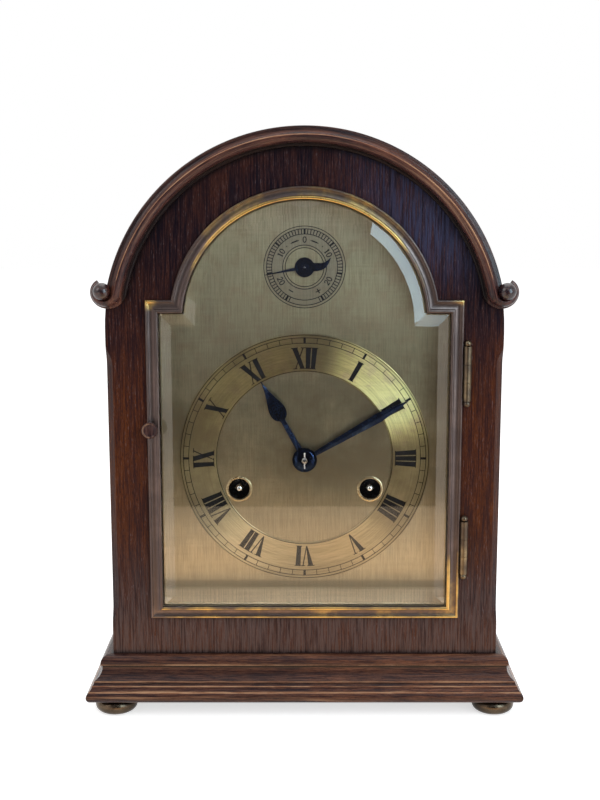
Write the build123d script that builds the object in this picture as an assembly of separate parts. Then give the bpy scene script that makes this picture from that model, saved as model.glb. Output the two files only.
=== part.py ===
"""Round-topped shelf clock with a break-arch glazed door, an eight-day striking movement and a coil gong.

Millimetres. +X is to the right seen from the front, +Y goes from the front to the back, +Z is up.
The origin is on the table, under the middle of the clock's box.
"""

from build123d import *
import math
import os

# Case
CASE_WIDTH = 216.0  # across the sides, and twice the radius of the round top
CASE_DEPTH = 140.0  # front face of the front panel to the back edges of the sides
SPRING_HEIGHT = 217.0  # table to the centre of the round top
PANEL_THICKNESS = 14.0
SIDE_THICKNESS = 9.0
CHAMFER = 3.6  # leg of the stopped chamfers on the two front corners
CHAMFER_RISE = 15.0  # plinth up to the chamfer
CHAMFER_DROP = 6.0  # arch centre down to the chamfer
CHAMFER_STOP = 14.0  # length of the curved run-out at each end

# Plinth and feet
FOOT_HEIGHT = 10.0
FOOT_RADIUS = 12.0
FOOT_INSET = 15.0  # plinth edge to foot centre
PLINTH_HEIGHT = 24.0
PLINTH_OVERHANG = 14.0  # front and sides
PLINTH_REAR_OVERHANG = 6.0
PLINTH_LIP = 4.7  # overhang of the top step
PLINTH_LIP_HEIGHT = 5.2
PLINTH_QUIRK = 1.0  # the step back under the top step's edge
PLINTH_NOSE_HEIGHT = 7.2  # half-round nosing at the bottom

# Hood moulding on the front of the arch
HOOD_WIDTH = 10.4
HOOD_PROJECTION = 12.0
HOOD_EAR_ANGLE = 10.0  # where the arch ends, above the horizontal
SCROLL_RADIUS = 8.7
SCROLL_PROJECTION = 8.6
SCROLL_ROUNDING = 2.6
SCROLL_INSET = 1.8  # case side in to the scroll centre
SCROLL_RISE = 1.05  # end of the arch up to the scroll centre
BOSS_RADIUS = 4.8
BOSS_HEIGHT = 4.6
BOSS_SHIFT = 1.6  # boss centre outward and up from the scroll centre

# Glazed front door
STILE_WIDTH = 22.0  # case side in to the door
DOOR_SILL = 21.0  # plinth up to the door
DOOR_SHOULDER_RISE = 16.4  # case arch centre up to the door's shoulders
DOOR_ARCH_RISE = 4.0  # case arch centre up to the door's own
DOOR_ARCH_RAIL = 35.0  # case arch in to the door's arch
BEZEL_WIDTH = 7.0
BEZEL_PROJECTION = 4.0
BEZEL_RIM = 1.1  # narrow outer rim of the bezel
BEZEL_RIM_HEIGHT = 2.4
BEZEL_HOLLOW_HEIGHT = 1.5
BEZEL_BEAD = 3.2  # width of the rounded bead round the glass
GLASS_THICKNESS = 3.4
GLASS_EDGE = 1.0
GLASS_BEVEL = 7.0
GLASS_REBATE = 1.2  # how far the glass reaches under the bezel
RETAINER_WIDTH = 0.6
RETAINER_DEPTH = 2.4
KNOB_RADIUS = 4.5
KNOB_RISE = 18.8  # above the middle of the door's straight sides
KNOB_INSET = 1.9  # bezel edge to the knob's stem
KNOB_STEM_RADIUS = 1.3
KNOB_STEM = 1.4
KNOB_THICKNESS = 2.2

# Butt hinges
HINGE_BARREL = 2.2
HINGE_PIN = 1.0
HINGE_LENGTH = 30.0
HINGE_FINIAL = 1.9
HINGE_LEAF = 0.8
HINGE_LEAF_DEPTH = 8.0
HINGE_RISE = 41.0  # door bottom up to the lower hinge
HINGE_DROP = 39.9  # door shoulder down to the upper hinge
RUNNING = 0.05  # radial play of a pin or pivot in its hole
CLEAR = 0.2  # gap between pieces that pass each other

# Back frame and back door
REAR_FRAME_THICKNESS = 6.0
REAR_STILE = 23.0  # side panel in to the back opening
REAR_SILL = 16.0  # plinth up to the back opening
REAR_ARCH_DROP = 17.0  # arch centre down to the back opening's own
REAR_DOOR_THICKNESS = 5.0
REAR_DOOR_LAP = 9.0
REAR_HINGE_RISE = 32.0  # back opening's bottom up to the lower hinge
REAR_HINGE_DROP = 22.0  # back opening's arch centre down to the upper hinge
REAR_HINGE_OFFSET = 2.4  # door edge to hinge pin
REAR_PIN_PROUD = 1.2  # hinge pin behind the door's back face
REAR_KNOB_RADIUS = 6.0
REAR_KNOB_RISE = 100.0
REAR_KNOB_INSET = 12.0

# Dial
DIAL_THICKNESS = 1.5
DIAL_LAP = 5.0  # dial plate past the panel's opening
RING_MARGIN = 9.0  # sight line of the glass in to the chapter ring, at the sides
RING_SILL = 11.6  # sight line of the glass up to the chapter ring
RING_WIDTH = 21.0
RING_THICKNESS = 1.0
WINDING_X = 36.8  # winding squares, from the dial centre
WINDING_DROP = 17.7
WINDING_HOLE = 5.9
FERRULE_WALL = 1.5
FERRULE_PROUD = 0.7
REGULATOR_DROP = 43.8  # top of the door down to the regulator
REGULATOR_GAP = 36.6  # regulator down to the chapter ring

# Hands
HAND_THICKNESS = 0.9
HOUR_LAP = 1.0  # tip past the inner edge of the chapter ring
HOUR_LEAF_LENGTH = 25.0
HOUR_LEAF_WIDTH = 9.4
HOUR_STEM_WIDTH = 3.2
HOUR_BOSS = 6.2
HOUR_ANGLE = -29.0  # clockwise from twelve, as photographed
MINUTE_SHORT = 4.0  # tip short of the outer edge of the chapter ring
MINUTE_POINT = 18.0  # widest place to the tip
MINUTE_WIDTH = 5.4
MINUTE_ROOT_WIDTH = 2.6
MINUTE_BOSS = 6.6
MINUTE_ANGLE = 60.0
HAND_GAP = 1.2  # ring to hour hand, and hour hand to minute hand
WASHER_RADIUS = 6.9
WASHER_THICKNESS = 1.4
TAPER_PIN_RADIUS = 0.55
TAPER_PIN_LENGTH = 9.0
REGULATOR_POINTER = 22.0
REGULATOR_TAIL = 15.0
REGULATOR_BOSS = 5.4
REGULATOR_ANGLE = -101.0

# Movement frame
MOTION_SPACE = 20.0  # dial to front plate
PLATE_THICKNESS = 2.5
PLATE_GAP = 44.0
PLATE_WIDTH = 116.0
PLATE_BELOW = 51.6  # plates below and above the dial centre
PLATE_ABOVE = 68.4
PILLAR_RADIUS = 4.0
PILLAR_INSET = 4.5
PILLAR_NUT_RADIUS = 4.6
PILLAR_NUT_HEIGHT = 3.0
PILLAR_STUD_RADIUS = 2.0
DIAL_POST_RADIUS = 3.0
DIAL_POST_X = 50.0
DIAL_POST_BELOW = 37.6
DIAL_POST_ABOVE = 56.4
SEAT_THICKNESS = 12.0
CLEAT_SIZE = 14.0
ARBOR = 1.5
PIVOT = 1.0

# Tooth counts and modules
GREAT_TEETH, GREAT_PINION, GREAT_MODULE = 72, 12, 0.75
SECOND_TEETH, SECOND_PINION, SECOND_MODULE = 64, 8, 0.7
CENTRE_TEETH, CENTRE_PINION, CENTRE_MODULE = 88, 8, 0.45
THIRD_TEETH, THIRD_PINION, THIRD_MODULE = 96, 8, 0.38
PIN_WHEEL_TEETH, PIN_WHEEL_PINION, PIN_WHEEL_MODULE = 60, 8, 0.5
WARNING_TEETH, WARNING_PINION, WARNING_MODULE = 56, 8, 0.4
CANNON_TEETH, MINUTE_WHEEL_TEETH, CANNON_MODULE = 14, 42, 0.6
MINUTE_PINION_TEETH, HOUR_WHEEL_TEETH = 12, 48
ESCAPE_TEETH = 40
ESCAPE_RADIUS = 12.5
PALLET_DISTANCE = 18.0  # escape arbor up to the pallet arbor
PALLET_CLEARANCE = 0.4  # between the anchor's arch and the escape teeth
PALLET_DEPTH = 3.3  # how far the pallets reach down past the top of the escape wheel
PIN_WHEEL_BEARING = 143.0  # directions between strike arbors, degrees from +X
WARNING_BEARING = 60.0
FLY_BEARING = 20.0

# Barrels and winding work
DRUM_RADIUS = 24.0
DRUM_WALL = 1.3
DRUM_CAP = 1.6
DRUM_LENGTH = 27.6
WINDING_ARBOR = 3.0
WINDING_SQUARE = 4.0
SPRING_COIL_WALL = 12.0  # radial build of the wound mainspring
RATCHET_TEETH = 24
RATCHET_RADIUS = 9.0
RATCHET_THICKNESS = 2.0

# Wheel planes, behind the back face of the front plate, and the wheels' thickness
WHEEL = 1.5
CENTRE_LEVEL = 1.5
SECOND_LEVEL = 4.0
STRIKE_SECOND_LEVEL = 7.0
GREAT_LEVEL = 10.0
GREAT_WHEEL = 2.4
UPPER_LEVEL = 22.0
WARNING_LEVEL = 28.0
ESCAPE_LEVEL = 33.0
PINION_EXTRA = 1.0  # pinion past each face of its wheel
FLY_LENGTH = 8.0
FLY_HALF = 9.0
LIFTING_PINS = 8
LIFTING_PIN_CIRCLE = 13.4
LIFTING_PIN_RADIUS = 0.7
LIFTING_PIN_LENGTH = 3.5

# Pendulum and its regulator
PENDULUM_SETBACK = 9.0  # back plate to the pendulum
PENDULUM_LENGTH = 114.0
ROD_RADIUS = 1.3
BOB_RADIUS = 19.0
BOB_THICKNESS = 11.0
NUT_RADIUS = 3.6
NUT_HEIGHT = 3.5
SPRING_STRIP = 10.0  # free length of the suspension spring
CRUTCH_LENGTH = 42.0
CRUTCH_PLAY = 0.7
RACK_MODULE = 0.3
RACK_PINION = 8
RACK_HALF = 6.0
SLIDE_DEPTH = 6.0
COCK_THICKNESS = 3.0

# Gong and hammer
GONG_SETBACK = 22.0  # back plate to the gong coil
GONG_DROP = 21.6  # dial centre down to the gong centre
GONG_WIRE = 1.3
GONG_PITCH = 5.6
GONG_INNER = 7.5
GONG_HALF_TURNS = 13
GONG_POST_WIDTH = 14.0
GONG_POST_DEPTH = 10.0
GONG_FOOT_WIDTH = 44.0
GONG_FOOT_HEIGHT = 5.0
HAMMER_INSET = 4.0  # plate edge in to the hammer arbor
HAMMER_RISE = 46.4  # dial centre up to the hammer arbor
HAMMER_ARM = 58.0
HAMMER_HEAD_RADIUS = 4.0
HAMMER_HEAD_LENGTH = 10.0
HAMMER_REST_GAP = 2.5

# Places worked out from the sizes above
ARCH_RADIUS = CASE_WIDTH / 2
PLINTH_TOP = FOOT_HEIGHT + PLINTH_HEIGHT
PLINTH_HALF = ARCH_RADIUS + PLINTH_OVERHANG
PLINTH_DEPTH = PLINTH_OVERHANG + CASE_DEPTH + PLINTH_REAR_OVERHANG
PLINTH_FRONT = -PLINTH_DEPTH / 2
PLINTH_BACK = PLINTH_DEPTH / 2
PANEL_FRONT = PLINTH_FRONT + PLINTH_OVERHANG
PANEL_BACK = PANEL_FRONT + PANEL_THICKNESS
CASE_BACK = PANEL_FRONT + CASE_DEPTH
INNER_HALF = ARCH_RADIUS - SIDE_THICKNESS
CHAMFER_BOTTOM = PLINTH_TOP + CHAMFER_RISE
CHAMFER_TOP = SPRING_HEIGHT - CHAMFER_DROP
SCROLL_X = ARCH_RADIUS - SCROLL_INSET
SCROLL_Z = SPRING_HEIGHT + ARCH_RADIUS * math.sin(math.radians(HOOD_EAR_ANGLE)) + SCROLL_RISE
DOOR_WIDTH = CASE_WIDTH - 2 * STILE_WIDTH
DOOR_BOTTOM = PLINTH_TOP + DOOR_SILL
DOOR_SHOULDER = SPRING_HEIGHT + DOOR_SHOULDER_RISE
DOOR_ARCH_CENTRE = SPRING_HEIGHT + DOOR_ARCH_RISE
DOOR_ARCH_RADIUS = ARCH_RADIUS - DOOR_ARCH_RAIL
KNOB_HEIGHT = (DOOR_BOTTOM + DOOR_SHOULDER) / 2 + KNOB_RISE
HINGE_LOWER = DOOR_BOTTOM + HINGE_RISE
HINGE_UPPER = DOOR_SHOULDER - HINGE_DROP
REAR_OPENING_HALF = INNER_HALF - REAR_STILE
REAR_OPENING_BOTTOM = PLINTH_TOP + REAR_SILL
REAR_OPENING_CENTRE = SPRING_HEIGHT - REAR_ARCH_DROP
REAR_HINGE_LOWER = REAR_OPENING_BOTTOM + REAR_HINGE_RISE
REAR_HINGE_UPPER = REAR_OPENING_CENTRE - REAR_HINGE_DROP
REAR_KNOB_HEIGHT = REAR_OPENING_BOTTOM + REAR_KNOB_RISE
REGULATOR_HEIGHT = DOOR_ARCH_CENTRE + DOOR_ARCH_RADIUS - REGULATOR_DROP
RING_LOW = DOOR_BOTTOM + BEZEL_WIDTH + RING_SILL
RING_HIGH = REGULATOR_HEIGHT - REGULATOR_GAP
RING_OUTER = min(DOOR_WIDTH / 2 - BEZEL_WIDTH - RING_MARGIN, (RING_HIGH - RING_LOW) / 2)
RING_INNER = RING_OUTER - RING_WIDTH
DIAL_CENTRE = (RING_LOW + RING_HIGH) / 2
HOUR_LENGTH = RING_INNER + HOUR_LAP
HOUR_LEAF_START = HOUR_LENGTH - HOUR_LEAF_LENGTH
MINUTE_LENGTH = RING_OUTER - MINUTE_SHORT
MINUTE_WIDEST = MINUTE_LENGTH - MINUTE_POINT
PLATE_BOTTOM = DIAL_CENTRE - PLATE_BELOW
PLATE_TOP = DIAL_CENTRE + PLATE_ABOVE
GONG_HEIGHT = DIAL_CENTRE - GONG_DROP
HAMMER_HEIGHT = DIAL_CENTRE + HAMMER_RISE
DIAL_FRONT = PANEL_BACK
DIAL_BACK = DIAL_FRONT + DIAL_THICKNESS
RING_FRONT = DIAL_FRONT - RING_THICKNESS
FRONT_PLATE_FRONT = DIAL_BACK + MOTION_SPACE
FRONT_PLATE_BACK = FRONT_PLATE_FRONT + PLATE_THICKNESS
BACK_PLATE_FRONT = FRONT_PLATE_BACK + PLATE_GAP
BACK_PLATE_BACK = BACK_PLATE_FRONT + PLATE_THICKNESS
PENDULUM_Y = BACK_PLATE_BACK + PENDULUM_SETBACK
GONG_Y = BACK_PLATE_BACK + GONG_SETBACK
REAR_FRAME_BACK = CASE_BACK - REAR_DOOR_THICKNESS
HOUR_HAND_BACK = RING_FRONT - HAND_GAP
MINUTE_HAND_BACK = HOUR_HAND_BACK - HAND_THICKNESS - HAND_GAP
WASHER_BACK = MINUTE_HAND_BACK - HAND_THICKNESS
ARBOR_TIP = WASHER_BACK - WASHER_THICKNESS - 2 * TAPER_PIN_RADIUS - 0.4
CANNON_RADIUS = 2.5
PIPE_RADIUS = 3.6

# Tooth forms: addendum and dedendum in modules, then half-widths at root, pitch line and tip in half pitches
WHEEL_FORM = (0.85, 1.25, 0.54, 0.43, 0.18)
PINION_FORM = (0.55, 1.25, 0.40, 0.40, 0.20)

FACING = Plane(origin=(0, 0, 0), x_dir=(1, 0, 0), z_dir=(0, -1, 0))


def at_depth(sketch, y):
    """A sketch drawn in X and Z, set up facing the front at depth y."""
    return Pos(0, y, 0) * (FACING * sketch)


def slab(sketch, front, back):
    """A sketch drawn in X and Z, made solid from depth front to depth back."""
    return Pos(0, back, 0) * (FACING * extrude(sketch, back - front))


def rod(centre, radius, front, back):
    """A round bar along Y."""
    return slab(Pos(*centre) * Circle(radius), front, back)


def ring(centre, outer, inner, front, back):
    return slab(Pos(*centre) * (Circle(outer) - Circle(inner)), front, back)


def block(x_low, x_high, y_low, y_high, z_low, z_high):
    size = (x_high - x_low, y_high - y_low, z_high - z_low)
    middle = ((x_low + x_high) / 2, (y_low + y_high) / 2, (z_low + z_high) / 2)
    return Pos(*middle) * Box(*size)


def polygon(points):
    return make_face(Polyline(*points, close=True))


def toward(start, end):
    """Direction from one arbor to another, in degrees from +X as seen from the front."""
    return math.degrees(math.atan2(end[1] - start[1], end[0] - start[0]))


def away(start, distance, bearing):
    angle = math.radians(bearing)
    return start[0] + distance * math.cos(angle), start[1] + distance * math.sin(angle)


def meet(first, first_reach, second, second_reach, side):
    """The arbor at given distances from two others, on one side of the line between them."""
    span = math.dist(first, second)
    along = (span**2 + first_reach**2 - second_reach**2) / (2 * span)
    across = math.sqrt(first_reach**2 - along**2)
    ux, uz = (second[0] - first[0]) / span, (second[1] - first[1]) / span
    return first[0] + along * ux - side * across * uz, first[1] + along * uz + side * across * ux


def mesh_distance(first_teeth, second_teeth, module):
    return module * (first_teeth + second_teeth) / 2


# Arbor places on the plates, as (x, z)
CENTRE = (0.0, DIAL_CENTRE)
GOING_BARREL = (WINDING_X, DIAL_CENTRE - WINDING_DROP)
STRIKE_BARREL = (-WINDING_X, DIAL_CENTRE - WINDING_DROP)
GREAT_REACH = mesh_distance(GREAT_TEETH, GREAT_PINION, GREAT_MODULE)
SECOND_REACH = mesh_distance(SECOND_TEETH, SECOND_PINION, SECOND_MODULE)
SECOND = meet(GOING_BARREL, GREAT_REACH, CENTRE, SECOND_REACH, -1)
STRIKE_SECOND = (-SECOND[0], SECOND[1])
THIRD = away(CENTRE, mesh_distance(CENTRE_TEETH, CENTRE_PINION, CENTRE_MODULE), 90)
ESCAPE = away(THIRD, mesh_distance(THIRD_TEETH, THIRD_PINION, THIRD_MODULE), 90)
PALLET = (0.0, ESCAPE[1] + PALLET_DISTANCE)
PIN_WHEEL = away(STRIKE_SECOND, SECOND_REACH, PIN_WHEEL_BEARING)
WARNING = away(PIN_WHEEL, mesh_distance(PIN_WHEEL_TEETH, PIN_WHEEL_PINION, PIN_WHEEL_MODULE), WARNING_BEARING)
FLY = away(WARNING, mesh_distance(WARNING_TEETH, WARNING_PINION, WARNING_MODULE), FLY_BEARING)
MINUTE_REACH = mesh_distance(CANNON_TEETH, MINUTE_WHEEL_TEETH, CANNON_MODULE)
HOUR_MODULE = 2 * MINUTE_REACH / (MINUTE_PINION_TEETH + HOUR_WHEEL_TEETH)
MINUTE_WHEEL = (0.0, DIAL_CENTRE - MINUTE_REACH)
HAMMER = (HAMMER_INSET - PLATE_WIDTH / 2, HAMMER_HEIGHT)
REGULATOR = (0.0, REGULATOR_HEIGHT)
PILLARS = [
    (side * (PLATE_WIDTH / 2 - PILLAR_INSET), height)
    for side in (-1, 1)
    for height in (PLATE_BOTTOM + PILLAR_INSET, PLATE_TOP - PILLAR_INSET)
]
DIAL_POSTS = [
    (side * DIAL_POST_X, height)
    for side in (-1, 1)
    for height in (DIAL_CENTRE - DIAL_POST_BELOW, DIAL_CENTRE + DIAL_POST_ABOVE)
]

PARTS = {}


def keep(name, *pieces):
    """Files one named piece, or several like pieces as separate solids."""
    solids = [solid for piece in pieces for solid in piece.solids()]
    PARTS[name] = solids[0] if len(solids) == 1 else Compound(children=solids)


# Outlines


def round_top(half, bottom, centre):
    """A straight-sided outline under a half-round top."""
    return make_face(
        [
            Line((-half, bottom), (half, bottom)),
            Line((half, bottom), (half, centre)),
            ThreePointArc((half, centre), (0, centre + half), (-half, centre)),
            Line((-half, centre), (-half, bottom)),
        ]
    )


def break_arch(inset):
    """The door's outline, square shoulders under a round arch, drawn inset from the bezel's outer edge."""
    half = DOOR_WIDTH / 2 - inset
    bottom = DOOR_BOTTOM + inset
    shoulder = DOOR_SHOULDER - inset
    radius = DOOR_ARCH_RADIUS - inset
    reach = math.sqrt(radius**2 - (shoulder - DOOR_ARCH_CENTRE) ** 2)
    return make_face(
        [
            Line((-half, bottom), (half, bottom)),
            Line((half, bottom), (half, shoulder)),
            Line((half, shoulder), (reach, shoulder)),
            ThreePointArc((reach, shoulder), (0, DOOR_ARCH_CENTRE + radius), (-reach, shoulder)),
            Line((-reach, shoulder), (-half, shoulder)),
            Line((-half, shoulder), (-half, bottom)),
        ]
    )


def door_layers(steps):
    """A solid through door outlines, each step an inset and a depth."""
    return loft([at_depth(break_arch(inset), y) for inset, y in steps], ruled=True)


def wheel_face(centre, teeth, module, form, bearing, gap=False):
    """A toothed outline with a tooth, or a gap, on the given bearing."""
    addendum, dedendum, root, pitch, tip = form
    radius = teeth * module / 2
    flanks = [
        (radius - dedendum * module, -root),
        (radius, -pitch),
        (radius + addendum * module, -tip),
        (radius + addendum * module, tip),
        (radius, pitch),
        (radius - dedendum * module, root),
    ]
    start = math.radians(bearing) + (math.pi / teeth if gap else 0.0)
    points = []
    for tooth in range(teeth):
        for reach, share in flanks:
            angle = start + (2 * tooth + share) * math.pi / teeth
            points.append((centre[0] + reach * math.cos(angle), centre[1] + reach * math.sin(angle)))
    return polygon(points)


def crossings(centre, hub, rim, spokes, spoke_width):
    """The windows between a wheel's spokes."""
    windows = Pos(*centre) * (Circle(rim) - Circle(hub))
    for spoke in range(spokes):
        angle = 360 * spoke / spokes
        windows -= Pos(*centre) * Rot(0, 0, angle) * Pos(rim / 2, 0) * Rectangle(rim + 2 * hub, spoke_width)
    return windows


def spoked_wheel(centre, teeth, module, bearing, front, thickness=WHEEL):
    face = wheel_face(centre, teeth, module, WHEEL_FORM, bearing)
    rim = teeth * module / 2 - 3.2 * module - 0.8
    hub = max(3.4, 0.22 * rim)
    if rim > 2 * hub:
        face -= crossings(centre, hub, rim, 4, max(1.6, 0.12 * rim))
    return slab(face, front, front + thickness)


def leaf_pinion(centre, teeth, module, bearing, front, thickness=WHEEL):
    face = wheel_face(centre, teeth, module, PINION_FORM, bearing, gap=True)
    return slab(face, front - PINION_EXTRA, front + thickness + PINION_EXTRA)


def level(offset):
    """Depth of a wheel plane between the plates."""
    return FRONT_PLATE_BACK + offset


def pivoted_arbor(centre, radius=ARBOR):
    """An arbor between the plates with a pivot in each."""
    body = rod(centre, radius, FRONT_PLATE_BACK + CLEAR, BACK_PLATE_FRONT - CLEAR)
    return body + rod(centre, PIVOT, FRONT_PLATE_FRONT, BACK_PLATE_BACK)


# Plinth and feet


def plinth_profile():
    """Overhang and height of the applied moulding: top step, quirk, long hollow, nosing."""
    nose_top = FOOT_HEIGHT + PLINTH_NOSE_HEIGHT
    lip_bottom = PLINTH_TOP - PLINTH_LIP_HEIGHT
    edge = PLINTH_LIP + 1.9
    hollow_start = (edge - PLINTH_QUIRK, lip_bottom - 0.3)
    hollow_end = (PLINTH_OVERHANG - 2.8, nose_top + 0.9)
    nose = (PLINTH_OVERHANG - 1.7, nose_top)
    return make_face(
        [
            Line((0, FOOT_HEIGHT), (0, PLINTH_TOP)),
            Line((0, PLINTH_TOP), (PLINTH_LIP - 1.2, PLINTH_TOP)),
            ThreePointArc(
                (PLINTH_LIP - 1.2, PLINTH_TOP),
                (PLINTH_LIP + 0.7, PLINTH_TOP - 1.3),
                (edge, lip_bottom + 0.6),
            ),
            Line((edge, lip_bottom + 0.6), (edge, lip_bottom)),
            Line((edge, lip_bottom), hollow_start),
            ThreePointArc(
                hollow_start,
                (PLINTH_OVERHANG - 6.4, (lip_bottom + nose_top) / 2 - 1.6),
                hollow_end,
            ),
            Line(hollow_end, (hollow_end[0], nose_top)),
            Line((hollow_end[0], nose_top), nose),
            ThreePointArc(
                nose,
                (PLINTH_OVERHANG, FOOT_HEIGHT + PLINTH_NOSE_HEIGHT / 2),
                (PLINTH_OVERHANG - 1.7, FOOT_HEIGHT),
            ),
            Line((PLINTH_OVERHANG - 1.7, FOOT_HEIGHT), (0, FOOT_HEIGHT)),
        ]
    )


def plinth_strip(origin, outward, along, length, plan):
    """One mitred strip: the profile run along its side of the plinth, cut to its plan."""
    plane = Plane(origin=origin, x_dir=outward, z_dir=along)
    strip = plane * extrude(plinth_profile(), length)
    return strip & Pos(0, 0, FOOT_HEIGHT) * extrude(polygon(plan), PLINTH_HEIGHT)


def make_plinth():
    board = block(-ARCH_RADIUS, ARCH_RADIUS, PANEL_FRONT, PLINTH_BACK, FOOT_HEIGHT, PLINTH_TOP)
    keep("base_board", board)
    front_plan = [
        (-PLINTH_HALF, PLINTH_FRONT),
        (PLINTH_HALF, PLINTH_FRONT),
        (ARCH_RADIUS, PANEL_FRONT),
        (-ARCH_RADIUS, PANEL_FRONT),
    ]
    front = plinth_strip((PLINTH_HALF, PANEL_FRONT, 0), (0, -1, 0), (-1, 0, 0), 2 * PLINTH_HALF, front_plan)
    right_plan = [
        (ARCH_RADIUS, PANEL_FRONT),
        (PLINTH_HALF, PLINTH_FRONT),
        (PLINTH_HALF, PLINTH_BACK),
        (ARCH_RADIUS, PLINTH_BACK),
    ]
    right = plinth_strip((ARCH_RADIUS, PLINTH_BACK, 0), (1, 0, 0), (0, -1, 0), PLINTH_DEPTH, right_plan)
    keep("base_moulding", front, right, mirror(right, Plane.YZ))
    foot_profile = make_face(
        [
            Line((0, 0), (FOOT_RADIUS * 0.6, 0)),
            ThreePointArc(
                (FOOT_RADIUS * 0.6, 0),
                (FOOT_RADIUS * 0.93, FOOT_HEIGHT * 0.36),
                (FOOT_RADIUS, FOOT_HEIGHT * 0.76),
            ),
            ThreePointArc(
                (FOOT_RADIUS, FOOT_HEIGHT * 0.76),
                (FOOT_RADIUS * 0.97, FOOT_HEIGHT * 0.93),
                (FOOT_RADIUS * 0.9, FOOT_HEIGHT),
            ),
            Line((FOOT_RADIUS * 0.9, FOOT_HEIGHT), (0, FOOT_HEIGHT)),
            Line((0, FOOT_HEIGHT), (0, 0)),
        ]
    )
    foot = revolve(Plane.XZ * foot_profile, Axis.Z)
    reach_x = PLINTH_HALF - FOOT_INSET
    reach_y = PLINTH_BACK - FOOT_INSET
    feet = [Pos(x, y, 0) * foot for x in (-reach_x, reach_x) for y in (-reach_y, reach_y)]
    keep("bun_feet", *feet)


# Case


def chamfer_cut(side):
    """The wedge that a stopped chamfer takes off a front corner, with curved run-outs."""
    depth = CHAMFER / math.sqrt(2)
    outside = -CHAMFER
    low = CHAMFER_BOTTOM
    high = CHAMFER_TOP
    bend = CHAMFER_STOP / 2
    profile = make_face(
        [
            Line((outside, low), (0, low)),
            Bezier((0, low), (0, low + bend), (depth, low + bend), (depth, low + CHAMFER_STOP)),
            Line((depth, low + CHAMFER_STOP), (depth, high - CHAMFER_STOP)),
            Bezier((depth, high - CHAMFER_STOP), (depth, high - bend), (0, high - bend), (0, high)),
            Line((0, high), (outside, high)),
            Line((outside, high), (outside, low)),
        ]
    )
    diagonal = math.sqrt(0.5)
    corner = Plane(
        origin=(side * ARCH_RADIUS, PANEL_FRONT, 0),
        x_dir=(-side * diagonal, diagonal, 0),
        z_dir=(diagonal, side * diagonal, 0),
    )
    return corner * extrude(profile, 2 * CHAMFER, both=True)


def make_case():
    face = round_top(ARCH_RADIUS, PLINTH_TOP, SPRING_HEIGHT) - break_arch(BEZEL_WIDTH)
    panel = slab(face, PANEL_FRONT, PANEL_BACK)
    for side in (-1, 1):
        panel -= chamfer_cut(side)
    for height in (HINGE_LOWER, HINGE_UPPER):
        panel -= front_leaf_slot(height)
    keep("case_front", panel)

    right_side = block(INNER_HALF, ARCH_RADIUS, PANEL_BACK, CASE_BACK, PLINTH_TOP, SPRING_HEIGHT)
    keep("case_sides", right_side, mirror(right_side, Plane.YZ))
    shell = make_face(
        [
            Line((INNER_HALF, SPRING_HEIGHT), (ARCH_RADIUS, SPRING_HEIGHT)),
            ThreePointArc(
                (ARCH_RADIUS, SPRING_HEIGHT),
                (0, SPRING_HEIGHT + ARCH_RADIUS),
                (-ARCH_RADIUS, SPRING_HEIGHT),
            ),
            Line((-ARCH_RADIUS, SPRING_HEIGHT), (-INNER_HALF, SPRING_HEIGHT)),
            ThreePointArc(
                (-INNER_HALF, SPRING_HEIGHT),
                (0, SPRING_HEIGHT + INNER_HALF),
                (INNER_HALF, SPRING_HEIGHT),
            ),
        ]
    )
    keep("case_arch", slab(shell, PANEL_BACK, CASE_BACK))
    frame = round_top(INNER_HALF, PLINTH_TOP, SPRING_HEIGHT)
    frame -= round_top(REAR_OPENING_HALF, REAR_OPENING_BOTTOM, REAR_OPENING_CENTRE)
    keep("rear_frame", slab(frame, REAR_FRAME_BACK - REAR_FRAME_THICKNESS, REAR_FRAME_BACK))


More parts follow.
